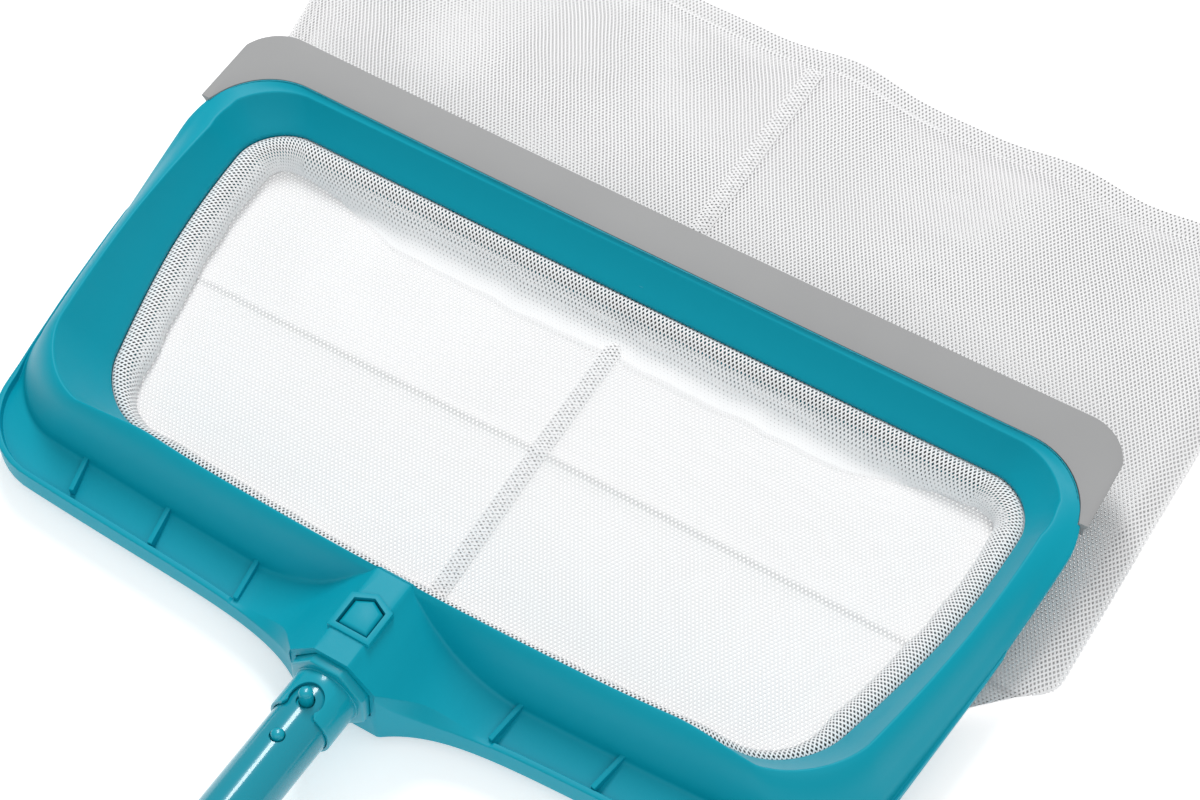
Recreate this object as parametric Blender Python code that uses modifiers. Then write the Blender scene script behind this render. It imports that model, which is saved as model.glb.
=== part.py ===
# Leaf skimmer net, lying mouth up with its bag laid flat beyond the blade.
#
# Everything is drawn about the centre of the mouth: X runs along the mouth, +Y from the handle to the
# blade and +Z out of the mouth. The last section lifts the whole object onto the ground plane Z = 0 and
# centres its box on the origin.
import math

import bmesh
import bpy
from mathutils import Matrix, Vector

MM = 0.001
FIT_GAP = 0.35 * MM  # clearance between neighbouring pieces

# ---- mouth, ridge and outer edge of the frame (half widths, Y ends and corner radii) ----
MOUTH_HALF_FAR = 237.4 * MM
MOUTH_HALF_NEAR = 208.3 * MM
MOUTH_NEAR_Y = -101.0 * MM
MOUTH_FAR_Y = 92.7 * MM
RIDGE_INSET_FAR = 13.8 * MM  # mouth edge to ridge, blade side
RIDGE_INSET_NEAR = 9.6 * MM
RIDGE_SIDE_OUT = 13.0 * MM
RIDGE_BULGE = 15.5 * MM  # the handle-side ridge bows toward the handle
EDGE_SIDE_OUT = 31.0 * MM  # mouth edge to the frame's outer edge at the blade corners
EDGE_NEAR_OUT = 38.7 * MM  # the same at the handle corners
EDGE_FAR_OUT = 18.8 * MM
EDGE_NEAR_Y_OUT = 30.0 * MM
SIDE_BULGE = 9.9 * MM
WALL = 2.3 * MM
LIP = 2.4 * MM  # depth of the mouth's plain inner lip

# ---- heights above the mouth plane ----
RIDGE_MID_Z = 26.2 * MM
RIDGE_SLOPE = 0.09  # the ridge climbs toward the handle
RIDGE_NEAR_EXTRA = 2.0 * MM
EDGE_HEIGHTS = ((-145, 3.0), (-120, 4.0), (-95, 6.0), (-60, 7.5), (0, 7.2), (25, 10.0), (66, 15.0),
                (85, 18.0), (112, 18.8))  # (Y, Z) of the frame's outer edge in mm

# ---- handle-side flange and hub ----
FLANGE_HALF = 247.5 * MM
FLANGE_NEAR_Y = -156.0 * MM
FLANGE_BULGE = 8.5 * MM
FLANGE_RADIUS = 40.0 * MM
FLOOR_Z = 1.0 * MM
FLOOR_T = 2.4 * MM
RIM_TOP_Z = 5.5 * MM
RIM_BOTTOM_Z = -9.0 * MM
RIM_W = 3.3 * MM
RIB_W = 2.0 * MM
RIB_XS = (76.5 * MM, 132.0 * MM, 187.5 * MM)
RIB_TOP_Z = 5.0 * MM
HUB_REACH = 19.0 * MM  # how far the flange swells toward the handle at the hub
HUB_FLARE = 20.0 * MM  # decay length of that swelling
STRAP_Z = 45.5 * MM  # flat top of the hub at the socket's face
STRAP_TILT = 0.075

# ---- handle axis, socket and connector ----
AXIS_Y = -202.6 * MM  # front snap button's place on the axis
AXIS_Z = 23.0 * MM
AXIS_TILT = 0.12  # radians, the handle rises away from the frame
SOCKET_AF = 42.4 * MM  # across flats of the socket's bore
SOCKET_WALL = 1.9 * MM
SOCKET_FACE_S = -20.4 * MM  # the socket's mouth, measured along the axis
SOCKET_DEPTH = 50.0 * MM
PLUG_GAP = 0.6 * MM
PLUG_FACE_S = -15.3 * MM
PLUG_LENGTH = 52.0 * MM
SLEEVE_OD = 34.0 * MM
TUBE_OD = 30.0 * MM
TUBE_WALL = 1.2 * MM
TUBE_LENGTH = 300.0 * MM
SLEEVE_END_S = 7.0 * MM
NOTCH_R = 8.7 * MM
NOTCH_FLARE = 13.5 * MM  # half width of the notch at the sleeve's end
SPIGOT_WALL = 1.8 * MM
SPIGOT_END_S = 38.0 * MM
BUTTON_PITCH = 22.9 * MM
BUTTON_R = (3.5 * MM, 3.3 * MM)
BUTTON_STAND = (7.4 * MM, 2.3 * MM)  # height of each button above the tube
TUBE_HOLE_R = (4.7 * MM, 3.9 * MM)
SPIGOT_HOLE_PLAY = 0.45 * MM
BUTTON_FOOT_R = 5.0 * MM
BUTTON_FOOT_T = 1.5 * MM
CLIP_W = 7.0 * MM
CLIP_T = 0.8 * MM

# ---- latch window on the strap ----
WINDOW_Y = -154.0 * MM
WINDOW_HALF = 9.0 * MM
WINDOW_LOW = 8.6 * MM  # from the window's centre toward the handle
WINDOW_SHOULDER = 7.2 * MM
WINDOW_APEX = 11.6 * MM
WINDOW_RIM_W = 3.0 * MM
WINDOW_RIM_H = 1.2 * MM
LATCH_PLAY = 1.3 * MM
LATCH_TOP = 1.0 * MM  # the button's crown above the strap
LATCH_BODY = 8.0 * MM
SPRING_R = 3.4 * MM
SPRING_WIRE_R = 0.4 * MM
SPRING_TURNS = 4

# ---- blade ----
BLADE_REACH = 25.2 * MM  # past the frame's groove
BLADE_SIDE = 3.1 * MM
BLADE_R = 25.8 * MM
BLADE_TOP_Z = 18.6 * MM
BLADE_ROOT_T = 3.6 * MM
BLADE_TIP_T = 1.5 * MM
BLADE_END_Y = 76.7 * MM
GROOVE_R = 42.0 * MM
TONGUE_T = 2.4 * MM
TONGUE_IN = 5.2 * MM

# ---- net hem and rear ring ----
HEM_R = 4.6 * MM
HEM_T = 1.0 * MM
HEM_IN = 5.2 * MM  # hem centre, inward of the mouth edge
HEM_Z = -5.2 * MM
RING_ROD_R = 2.6 * MM
PLATE_T = 3.4 * MM
LEDGE_T = 2.0 * MM
PLATE_BOTTOM_Z = -12.3 * MM
SCREW_R = 1.5 * MM
SCREW_HEAD_R = 3.0 * MM
SCREW_HEAD_T = 1.6 * MM
BOSS_R = 3.6 * MM
FAR_BOSS_IN = 6.0 * MM  # the blade-side screws stand inward of the ridge, clear of the blade's tongue
SCREW_TIP_Z = 1.8 * MM

# ---- bag ----
GROUND_Z = -20.0 * MM
BAG_HALF = 289.0 * MM
BAG_CORNER_Y = 9.0 * MM
BAG_END_Y = 287.0 * MM
BAG_NEAR_Y = -118.0 * MM
BAG_NEAR_HALF = 205.0 * MM
CLOTH_T = 0.8 * MM
BAG_H = 7.0 * MM  # height of the flattened bag
SEAM_W = 3.0 * MM
SEAM_T = 0.9 * MM
HEM_BAND = 8.0 * MM

ARC_STEPS = 8
ROUND_STEPS = 36
NEAR_XS = (150, 132, 117, 100, 88, 78, 68, 58, 50, 44, 38, 33, 29, 26, 23, 16, 9.6)  # mm, each side


# ------------------------------------------------------------------ shared makers

def clear_scene():
    for ob in list(bpy.data.objects):
        bpy.data.objects.remove(ob, do_unlink=True)


def collection(name):
    made = bpy.data.collections.new(name)
    bpy.context.scene.collection.children.link(made)
    return made


clear_scene()
PARTS = collection("leaf_skimmer_net")
CUTTERS = collection("cutters")


def material(name, colour, roughness, metallic=0.0):
    made = bpy.data.materials.new(name)
    made.use_nodes = True
    shader = made.node_tree.nodes["Principled BSDF"]
    shader.inputs["Base Color"].default_value = (*colour, 1.0)
    shader.inputs["Roughness"].default_value = roughness
    shader.inputs["Metallic"].default_value = metallic
    made.diffuse_color = (*colour, 1.0)
    return made


TEAL = material("teal_moulding", (0.001, 0.300, 0.392), 0.45)
TEAL_GLOSS = material("teal_gloss", (0.006, 0.275, 0.355), 0.18)
GREY = material("blade_grey", (0.386, 0.390, 0.394), 0.6)
WHITE = material("net_white", (0.87, 0.87, 0.88), 0.8)
STEEL = material("spring_steel", (0.62, 0.62, 0.63), 0.3, 1.0)
DARK = material("ring_plastic", (0.12, 0.13, 0.14), 0.5)


def add_object(name, mesh, mat, where=None):
    ob = bpy.data.objects.new(name, mesh)
    (where or PARTS).objects.link(ob)
    if mat:
        mesh.materials.clear()
        mesh.materials.append(mat)
    return ob


def from_bmesh(name, bm, mat, where=None):
    bmesh.ops.recalc_face_normals(bm, faces=bm.faces[:])
    mesh = bpy.data.meshes.new(name)
    bm.to_mesh(mesh)
    bm.free()
    return add_object(name, mesh, mat, where)


def loft(name, sections, mat, closed, where=None):
    """Skin a row of equal-length point rings; closed joins the last ring to the first."""
    bm = bmesh.new()
    rings = [[bm.verts.new(p) for p in ring] for ring in sections]
    count = len(rings[0])
    last = len(rings) if closed else len(rings) - 1
    for i in range(last):
        a = rings[i]
        b = rings[(i + 1) % len(rings)]
        for j in range(count):
            k = (j + 1) % count
            bm.faces.new((a[j], a[k], b[k], b[j]))
    if not closed:
        bm.faces.new(rings[0])
        bm.faces.new(rings[-1])
    bmesh.ops.triangulate(bm, faces=bm.faces[:])
    return from_bmesh(name, bm, mat, where)


def prism(name, outline, low, high, mat, where=None):
    """A flat outline in X and Y, extruded from low to high in Z."""
    bm = bmesh.new()
    face = bm.faces.new([bm.verts.new((x, y, low)) for x, y in outline])
    grown = bmesh.ops.extrude_face_region(bm, geom=[face])
    for item in grown["geom"]:
        if isinstance(item, bmesh.types.BMVert):
            item.co.z = high
    return from_bmesh(name, bm, mat, where)


def turned(name, profile, steps, mat, where=None):
    """Spin an (r, z) profile, top to bottom, about Z; one that ends where it starts is a closed ring."""
    edges = [(i, i + 1) for i in range(len(profile) - 1)]
    if profile[0] == profile[-1]:
        profile = profile[:-1]
        edges[-1] = (len(profile) - 1, 0)
    mesh = bpy.data.meshes.new(name)
    mesh.from_pydata([(r, 0.0, z) for r, z in profile], edges, [])
    ob = add_object(name, mesh, mat, where)
    screw = ob.modifiers.new("turn", "SCREW")
    screw.steps = steps
    screw.render_steps = steps
    screw.use_merge_vertices = True
    screw.merge_threshold = 0.01 * MM
    return ob


def applied(ob):
    """Replace an object's mesh by its evaluated one, with its placement baked in."""
    bpy.context.view_layer.update()
    graph = bpy.context.evaluated_depsgraph_get()
    mesh = bpy.data.meshes.new_from_object(ob.evaluated_get(graph))
    mesh.transform(ob.matrix_world)
    ob.modifiers.clear()
    ob.parent = None
    ob.matrix_world = Matrix.Identity(4)
    ob.data = mesh
    return ob


def combine(target, others, operation):
    for other in others:
        applied(other)
        cut = target.modifiers.new(operation.lower(), "BOOLEAN")
        cut.operation = operation
        cut.solver = "EXACT"
        cut.object = other
        applied(target)
        bpy.data.objects.remove(other, do_unlink=True)
    return target


def cutter(ob):
    ob.hide_render = True
    ob.display_type = "WIRE"
    return ob


def rounded_loop(near_half, far_half, near_y, far_y, near_r, far_r, side_bulge, near_bulge, far_bulge):
    """Points round a rounded trapezoid with bowed sides; every loop has the same count and order."""
    corners = ((-near_half, near_y, near_r), (near_half, near_y, near_r), (far_half, far_y, far_r),
               (-far_half, far_y, far_r))
    arcs = []
    for i, (x, y, r) in enumerate(corners):
        here = Vector((x, y))
        back = (Vector(corners[i - 1][:2]) - here).normalized()
        on = (Vector(corners[(i + 1) % 4][:2]) - here).normalized()
        half = back.angle(on) / 2
        centre = here + (back + on).normalized() * (r / math.sin(half))
        start = here + back * (r / math.tan(half)) - centre
        turn = math.pi - 2 * half
        spin = [Matrix.Rotation(turn * k / ARC_STEPS, 2) @ start + centre for k in range(ARC_STEPS + 1)]
        arcs.append(spin)
    mid_x = [x * MM for x in NEAR_XS]
    xs = [-x for x in mid_x] + [0.0] + mid_x[::-1]
    near = [Vector((x, near_y)) for x in xs]
    points = arcs[0] + near + arcs[1]
    for a, b, steps in ((arcs[1][-1], arcs[2][0], 8), (arcs[2][-1], arcs[3][0], 16),
                        (arcs[3][-1], arcs[0][0], 8)):
        points += [a.lerp(b, k / steps) for k in range(1, steps)]
        if steps == 8 and b is arcs[2][0]:
            points += arcs[2]
        elif steps == 16:
            points += arcs[3]
    half_y = (far_y - near_y) / 2
    mid_y = (far_y + near_y) / 2
    half_x = (far_half + near_half) / 2
    out = []
    for p in points:
        across = max(0.0, 1 - (p.x / half_x) ** 2)
        along = max(0.0, 1 - ((p.y - mid_y) / half_y) ** 2)
        lean = (p.y - mid_y) / half_y
        y = p.y + (far_bulge * max(lean, 0.0) - near_bulge * max(-lean, 0.0)) * across
        x = p.x + side_bulge * along * math.copysign(min(1.0, abs(p.x) / half_x) ** 4, p.x)
        out.append(Vector((x, y)))
    return out


MOUTH = rounded_loop(MOUTH_HALF_NEAR, MOUTH_HALF_FAR, MOUTH_NEAR_Y, MOUTH_FAR_Y, 33.8 * MM, 24.6 * MM,
                     SIDE_BULGE, 12.0 * MM, -1.1 * MM)
RIDGE = rounded_loop(MOUTH_HALF_NEAR + 21.5 * MM, MOUTH_HALF_FAR + RIDGE_SIDE_OUT,
                     MOUTH_NEAR_Y - RIDGE_INSET_NEAR, MOUTH_FAR_Y + RIDGE_INSET_FAR, 28.7 * MM, 32.0 * MM,
                     SIDE_BULGE, RIDGE_BULGE, -0.5 * MM)
EDGE = rounded_loop(MOUTH_HALF_NEAR + EDGE_NEAR_OUT, MOUTH_HALF_FAR + EDGE_SIDE_OUT,
                    MOUTH_NEAR_Y - EDGE_NEAR_Y_OUT, MOUTH_FAR_Y + EDGE_FAR_OUT, 40.0 * MM, 50.0 * MM,
                    4.0 * MM, 10.5 * MM, 0.0)
RIM = rounded_loop(FLANGE_HALF, MOUTH_HALF_FAR + EDGE_SIDE_OUT, FLANGE_NEAR_Y, MOUTH_FAR_Y + EDGE_FAR_OUT,
                   FLANGE_RADIUS, 50.0 * MM, 4.0 * MM, FLANGE_BULGE, 0.0)
COUNT = len(MOUTH)
NEAR_START = ARC_STEPS + 1
NEAR_COUNT = 2 * len(NEAR_XS) + 1


def between(value, table):
    """Straight-line reading of a short (position, value) table in mm, returned in metres."""
    v = value / MM
    if v <= table[0][0]:
        return table[0][1] * MM
    for (a, za), (b, zb) in zip(table, table[1:]):
        if v <= b:
            return (za + (zb - za) * (v - a) / (b - a)) * MM
    return table[-1][1] * MM


def ridge_z(p):
    near = max(0.0, 1 - (p.x / (150 * MM)) ** 2) if p.y < -100 * MM else 0.0
    return RIDGE_MID_Z - RIDGE_SLOPE * p.y + RIDGE_NEAR_EXTRA * near


def axis_point(s, up=0.0, side=0.0):
    """A point s along the handle axis (away from the frame), up out of it and sideways."""
    c = math.cos(AXIS_TILT)
    n = math.sin(AXIS_TILT)
    return Vector((side, AXIS_Y - s * c + up * n, AXIS_Z + s * n + up * c))


def axis_matrix(s):
    """Frame whose +Z runs along the handle axis and whose +Y is up out of it."""
    z = Vector((0, -math.cos(AXIS_TILT), math.sin(AXIS_TILT)))
    y = Vector((0, math.sin(AXIS_TILT), math.cos(AXIS_TILT)))
    x = y.cross(z)
    return Matrix.Translation(axis_point(s)) @ Matrix((x, y, z)).transposed().to_4x4()


def button_matrix(s, up):
    """Frame whose +Z points up out of the handle axis."""
    z = Vector((0, math.sin(AXIS_TILT), math.cos(AXIS_TILT)))
    x = Vector((1, 0, 0))
    return Matrix.Translation(axis_point(s, up)) @ Matrix((x, z.cross(x), z)).transposed().to_4x4()


# ------------------------------------------------------------------ front frame

def offset_line(line, gap):
    """Offset an open (u, z) line to its right by gap with mitred corners."""
    normals = []
    for (a, za), (b, zb) in zip(line, line[1:]):
        length = math.hypot(b - a, zb - za)
        normals.append(((zb - za) / length, -(b - a) / length))
    out = []
    for i, (u, z) in enumerate(line):
        n0 = normals[max(0, i - 1)]
        n1 = normals[min(i, len(normals) - 1)]
        bx, bz = n0[0] + n1[0], n0[1] + n1[1]
        scale = 2 * gap / max(bx * bx + bz * bz, 1.0)
        out.append((u + bx * scale, z + bz * scale))
    return out


def ring_section(k):
    """Closed section of the frame's lip, ridge and flank at station k."""
    m, r, e = MOUTH[k], RIDGE[k], EDGE[k]
    out = (e - m).normalized()
    ur = (r - m).dot(out)
    ue = (e - m).length
    zr, ze = ridge_z(r), between(e.y, EDGE_HEIGHTS)
    flat = (ue - ur)
    drop = (zr - ze)
    top = [(0.0, 0.0), (ur - 1.6 * MM, zr - 1.2 * MM), (ur + 1.2 * MM, zr), (ur + 0.45 * flat, zr - 0.24 * drop),
           (ur + 0.76 * flat, zr - 0.57 * drop), (ue, ze)]
    under = offset_line(top, WALL)
    rise = (under[1][1] - under[0][1]) / (under[1][0] - under[0][0])
    lip = [(0.0, -LIP), (under[0][0] + (-LIP - under[0][1]) / rise, -LIP)]
    ring = top + under[:0:-1] + lip[::-1]
    return [Vector((m.x + out.x * u, m.y + out.y * u, z)) for u, z in ring]


def hub_shape(x, table_near, table_rim):
    """Heights of the hub's fairing at half width |x|: at the flank and at the rim."""
    return between(abs(x), table_near), between(abs(x), table_rim)


FAIRING_FLANK = ((0, 41.5), (9.6, 41.3), (16, 35.5), (20, 32.5), (24, 28.7), (29, 24), (34, 19), (39, 15.5),
                 (44, 12.9), (50, 10.0), (58, 7.0), (68, 4.2), (78, 1.0))
FAIRING_RIM = ((0, 45.3), (9.6, 45.3), (16, 39.0), (23, 32.0), (26, 24.0), (30, 17.5), (36, 12.0), (44, 8.0),
               (52, 5.6), (64, 3.2), (78, 1.0))


def rim_point(k):
    p = RIM[k]
    if NEAR_START <= k < NEAR_START + NEAR_COUNT:
        swell = HUB_REACH * math.exp(-max(abs(p.x) - 23 * MM, 0.0) / HUB_FLARE)
        return Vector((p.x, p.y - swell))
    return p


def flange_section(k):
    """Floor, rim and underside of the handle-side flange at station k."""
    e, o = EDGE[k], rim_point(k)
    out = (o - e).normalized()
    w = (o - e).length
    start, rim_in = -2.0 * MM, max(w - RIM_W, 0.3 * MM)
    z_flank = z_rim = FLOOR_Z
    if NEAR_START <= k < NEAR_START + NEAR_COUNT and abs(o.x) < 78 * MM:
        z_flank, z_rim = hub_shape(o.x, FAIRING_FLANK, FAIRING_RIM)
        start = -13.0 * MM
    edge_z = between(e.y, EDGE_HEIGHTS)
    floor_drop = min(FLOOR_Z, edge_z - 2.0 * MM)
    top_z = max(RIM_TOP_Z, z_rim + 0.3 * MM, 0.0)
    slope = (z_rim - z_flank) / max(w, 1 * MM)
    z_start = (z_flank if z_flank > FLOOR_Z else floor_drop)
    ring = [(start, z_start), (rim_in, max(z_rim, floor_drop)), (rim_in + 0.3 * MM, top_z), (w - 0.5 * MM, top_z),
            (w, top_z - 0.5 * MM), (w + 0.3 * MM, RIM_BOTTOM_Z), (w - WALL, RIM_BOTTOM_Z),
            (w - WALL - 0.2 * MM, z_rim - FLOOR_T - abs(slope) * 2 * MM), (start, z_start - FLOOR_T)]
    return [Vector((e.x + out.x * u, e.y + out.y * u, z)) for u, z in ring]


def octagon(across_flats, centre=(0.0, 0.0)):
    """Octagon points with flats on top, bottom and both sides."""
    reach = across_flats / 2 / math.cos(math.pi / 8)
    return [(centre[0] + reach * math.cos(math.pi / 8 + i * math.pi / 4),
             centre[1] + reach * math.sin(math.pi / 8 + i * math.pi / 4)) for i in range(8)]


def octagon_bar(name, across_flats, s0, s1, mat, where=None, bevel=0.0):
    low = prism(name, octagon(across_flats), s0, s1, mat, where)
    low.matrix_world = axis_matrix(0.0)
    if bevel:
        rounding = low.modifiers.new("edge", "BEVEL")
        rounding.width = bevel
        rounding.segments = 1
        rounding.limit_method = "ANGLE"
        rounding.angle_limit = math.radians(60)
    return low


def window_outline(grow):
    apex = WINDOW_APEX + grow * 1.1
    low = WINDOW_LOW + grow
    half = WINDOW_HALF + grow
    shoulder = WINDOW_SHOULDER + grow * 0.5
    return [(-half, -low), (half, -low), (half, shoulder), (half * 0.45, apex), (-half * 0.45, apex),
            (-half, shoulder)]


def strap_matrix():
    """Frame on the strap's top at the window's centre, +Z out of it."""
    z = STRAP_Z + STRAP_TILT * (axis_point(SOCKET_FACE_S).y - WINDOW_Y)
    return Matrix.Translation((0, WINDOW_Y, z)) @ Matrix.Rotation(-STRAP_TILT, 4, "X")


RIB_Y_NEAR = -134.0 * MM


def make_rib(x, side):
    k_rim = FLANGE_NEAR_Y - FLANGE_BULGE * (1 - (x / FLANGE_HALF) ** 2)
    bm = bmesh.new()
    bmesh.ops.create_cube(bm, size=1.0)
    low = FLOOR_Z - 1.0 * MM
    span = abs(k_rim + 1.0 * MM - RIB_Y_NEAR)
    bmesh.ops.scale(bm, verts=bm.verts[:], vec=(RIB_W, span, RIB_TOP_Z - low))
    rib = from_bmesh("rib", bm, TEAL)
    lean = math.radians(8) * side
    mid_y = (k_rim + 1.0 * MM + RIB_Y_NEAR) / 2
    rib.matrix_world = (Matrix.Translation((side * x, mid_y, (RIB_TOP_Z + low) / 2))
                        @ Matrix.Rotation(-lean, 4, "Z"))
    return rib


def boss_places():
    """Screw places under the ridge, two on each short side and three on each long side."""
    places = []
    for k in (NEAR_START + 1, NEAR_START + NEAR_COUNT - 2, NEAR_START + 5, NEAR_START + NEAR_COUNT - 6):
        places.append(k)
    right = NEAR_START + NEAR_COUNT + ARC_STEPS + 1
    far = right + 7 + ARC_STEPS + 1
    places += [right + 1, right + 5, far + 3, far + 7, far + 11, COUNT - 2, COUNT - 6]
    spots = []
    for k in places:
        m, r, e = MOUTH[k], RIDGE[k], EDGE[k]
        out = (e - m).normalized()
        reach = (r - m).dot(out)
        u = reach - (FAR_BOSS_IN if far <= k <= far + 14 else 0.0)
        spot = m + out * u
        spots.append(Vector((spot.x, spot.y, ridge_z(r) * (u - BOSS_R) / reach - 0.8 * MM)))
    return spots


def make_frame():
    frame = loft("front_frame", [ring_section(k) for k in range(COUNT)], TEAL, True)
    stations = list(range(COUNT - 3, COUNT)) + list(range(0, NEAR_START + NEAR_COUNT + ARC_STEPS + 4))
    flange = loft("flange", [flange_section(k) for k in stations], TEAL, False)
    barrel = octagon_bar("barrel", SOCKET_AF + 2 * SOCKET_WALL, SOCKET_FACE_S - SOCKET_DEPTH, SOCKET_FACE_S, TEAL)
    lump = prism("window_rim", window_outline(WINDOW_RIM_W), -2.0 * MM, WINDOW_RIM_H, TEAL)
    lump.matrix_world = strap_matrix()
    ribs = [make_rib(x, side) for x in RIB_XS for side in (-1, 1)]
    combine(frame, [flange, barrel, lump] + ribs, "UNION")
    bosses = []
    foot = PLATE_BOTTOM_Z + PLATE_T + FIT_GAP
    for spot in boss_places():
        boss = turned("boss", [(0, spot.z), (BOSS_R, spot.z), (BOSS_R, foot), (0, foot)], 12, TEAL)
        boss.location = (spot.x, spot.y, 0)
        bosses.append(boss)
    combine(frame, bosses, "UNION")
    bore = octagon_bar("bore", SOCKET_AF, SOCKET_FACE_S - SOCKET_DEPTH + WALL, SOCKET_FACE_S + 30 * MM, None, CUTTERS)
    hole = prism("window_hole", window_outline(0.0), -12.0 * MM, 10.0 * MM, None, CUTTERS)
    hole.matrix_world = strap_matrix()
    face = prism("face_trim", [(-24.5 * MM, -24.5 * MM), (24.5 * MM, -24.5 * MM), (24.5 * MM, 40 * MM), (-24.5 * MM, 40 * MM)],
                 SOCKET_FACE_S, SOCKET_FACE_S + 30 * MM, None, CUTTERS)
    face.matrix_world = axis_matrix(0.0)
    seat = blade_seat_cutter()
    pilots = []
    for spot in boss_places():
        r = SCREW_R + FIT_GAP
        deep = SCREW_TIP_Z + 0.6 * MM
        pilot = turned("pilot", [(0, deep), (r, deep), (r, -20 * MM), (0, -20 * MM)], 12, None, CUTTERS)
        pilot.location = (spot.x, spot.y, 0)
        pilots.append(pilot)
    combine(frame, [bore, hole, face, seat] + pilots, "DIFFERENCE")
    return frame


# ------------------------------------------------------------------ blade and its seat

GROOVE = rounded_loop(MOUTH_HALF_NEAR + 40.0 * MM, MOUTH_HALF_FAR + 26.9 * MM, MOUTH_NEAR_Y - 30 * MM,
                      MOUTH_FAR_Y + 17.2 * MM, 40.0 * MM, GROOVE_R, 3.0 * MM, 0.0, -1.2 * MM)
TIP = rounded_loop(MOUTH_HALF_NEAR + 46.0 * MM, MOUTH_HALF_FAR + 30.0 * MM, MOUTH_NEAR_Y - 30 * MM,
                   MOUTH_FAR_Y + 42.4 * MM, 40.0 * MM, BLADE_R, 4.0 * MM, 0.0, -1.9 * MM)
RIGHT_SIDE = NEAR_START + NEAR_COUNT + ARC_STEPS + 1
BLADE_STATIONS = range(RIGHT_SIDE + 5, COUNT - 5)


def end_point(loop, side, end_y):
    """Where a loop crosses the blade's end line on one side."""
    for k in range(RIGHT_SIDE, COUNT):
        a, b = loop[k], loop[(k + 1) % COUNT]
        if a.x * side > 0 and (a.y - end_y) * (b.y - end_y) <= 0 and a.y != b.y:
            return a.lerp(b, (end_y - a.y) / (b.y - a.y))
    return loop[RIGHT_SIDE]


def blade_pairs(end_y):
    """Groove and outer points of the blade from its right end step round to its left one."""
    clear_y = BLADE_END_Y + 2 * MM
    rows = [k for k in BLADE_STATIONS if GROOVE[k].y > clear_y and TIP[k].y > clear_y]
    pairs = [(end_point(GROOVE, 1, end_y), end_point(TIP, 1, end_y))]
    pairs += [(GROOVE[k], TIP[k]) for k in rows]
    pairs.append((end_point(GROOVE, -1, end_y), end_point(TIP, -1, end_y)))
    return pairs


def blade_seat_cutter():
    """Clears the frame's edge outside the groove, above the tongue, from step to step."""
    rows = []
    for g, t in blade_pairs(BLADE_END_Y):
        far = t + (t - g).normalized() * 20 * MM
        rows.append([(g.x, g.y, 8 * MM), (far.x, far.y, 8 * MM), (far.x, far.y, 40 * MM), (g.x, g.y, 40 * MM)])
    return loft("blade_seat", rows, None, False, CUTTERS)


def make_blade():
    sections = []
    for g, t in blade_pairs(BLADE_END_Y + FIT_GAP):
        out = (t - g).normalized()
        w = (t - g).length
        inner = FIT_GAP + 0.15 * MM
        tongue_top = BLADE_TOP_Z - WALL - 5.4 * MM
        taper = min(1.0, w / BLADE_REACH)
        tongue = inner + 0.4 * MM - TONGUE_IN * taper
        root = min(7 * MM, 0.5 * w + 1 * MM)
        ring = [(inner, BLADE_TOP_Z - 0.3 * MM), (w, BLADE_TOP_Z + 0.7 * MM * taper),
                (w, BLADE_TOP_Z + 0.7 * MM * taper - BLADE_TIP_T), (root, BLADE_TOP_Z - BLADE_ROOT_T),
                (root - 0.6 * MM, tongue_top - TONGUE_T), (tongue, tongue_top - TONGUE_T), (tongue, tongue_top),
                (inner, tongue_top)]
        sections.append([Vector((g.x + out.x * u, g.y + out.y * u, z)) for u, z in ring])
    return loft("scraper_blade", sections, GREY, False)


# ------------------------------------------------------------------ rear ring, hem and screws

def mouth_frame(k):
    m = MOUTH[k]
    return m, (EDGE[k] - m).normalized()


def around_mouth(name, ring_of, mat):
    sections = []
    for k in range(COUNT):
        m, out = mouth_frame(k)
        sections.append([Vector((m.x + out.x * u, m.y + out.y * u, z)) for u, z in ring_of(k)])
    return loft(name, sections, mat, True)


def plate_ring(k):
    """Stepped clamp section: a ledge under the hem and a plate out under the ridge."""
    m, out = mouth_frame(k)
    reach = (RIDGE[k] - m).dot(out) + BOSS_R + 2.2 * MM
    top = PLATE_BOTTOM_Z + PLATE_T
    return [(0.9 * MM, -3.4 * MM), (2.9 * MM, -3.4 * MM), (2.9 * MM, top), (reach, top), (reach, PLATE_BOTTOM_Z),
            (-7.0 * MM, PLATE_BOTTOM_Z), (-7.0 * MM, PLATE_BOTTOM_Z + LEDGE_T), (0.9 * MM, PLATE_BOTTOM_Z + LEDGE_T)]


def make_rear_ring():
    ring = around_mouth("rear_ring", plate_ring, TEAL)
    holes = []
    for spot in boss_places():
        hole = turned("screw_hole", [(0, 5 * MM), (SCREW_R + 0.3 * MM, 5 * MM),
                                     (SCREW_R + 0.3 * MM, PLATE_BOTTOM_Z + SCREW_HEAD_T + 0.4 * MM),
                                     (SCREW_HEAD_R + 0.4 * MM, PLATE_BOTTOM_Z + SCREW_HEAD_T + 0.4 * MM),
                                     (SCREW_HEAD_R + 0.4 * MM, PLATE_BOTTOM_Z - 5 * MM),
                                     (0, PLATE_BOTTOM_Z - 5 * MM)], 12, None, CUTTERS)
        hole.location = (spot.x, spot.y, 0)
        holes.append(hole)
    return combine(ring, holes, "DIFFERENCE")


def make_screws():
    low = PLATE_BOTTOM_Z + 0.05 * MM
    neck = low + SCREW_HEAD_T
    tip = SCREW_TIP_Z
    for i, spot in enumerate(boss_places()):
        screw = turned("ring_screw_%d" % (i + 1), [(0, tip), (SCREW_R, tip), (SCREW_R, neck), (SCREW_HEAD_R, neck),
                                                   (SCREW_HEAD_R, low), (0, low)], 12, STEEL)
        screw.location = (spot.x, spot.y, 0)


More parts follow.
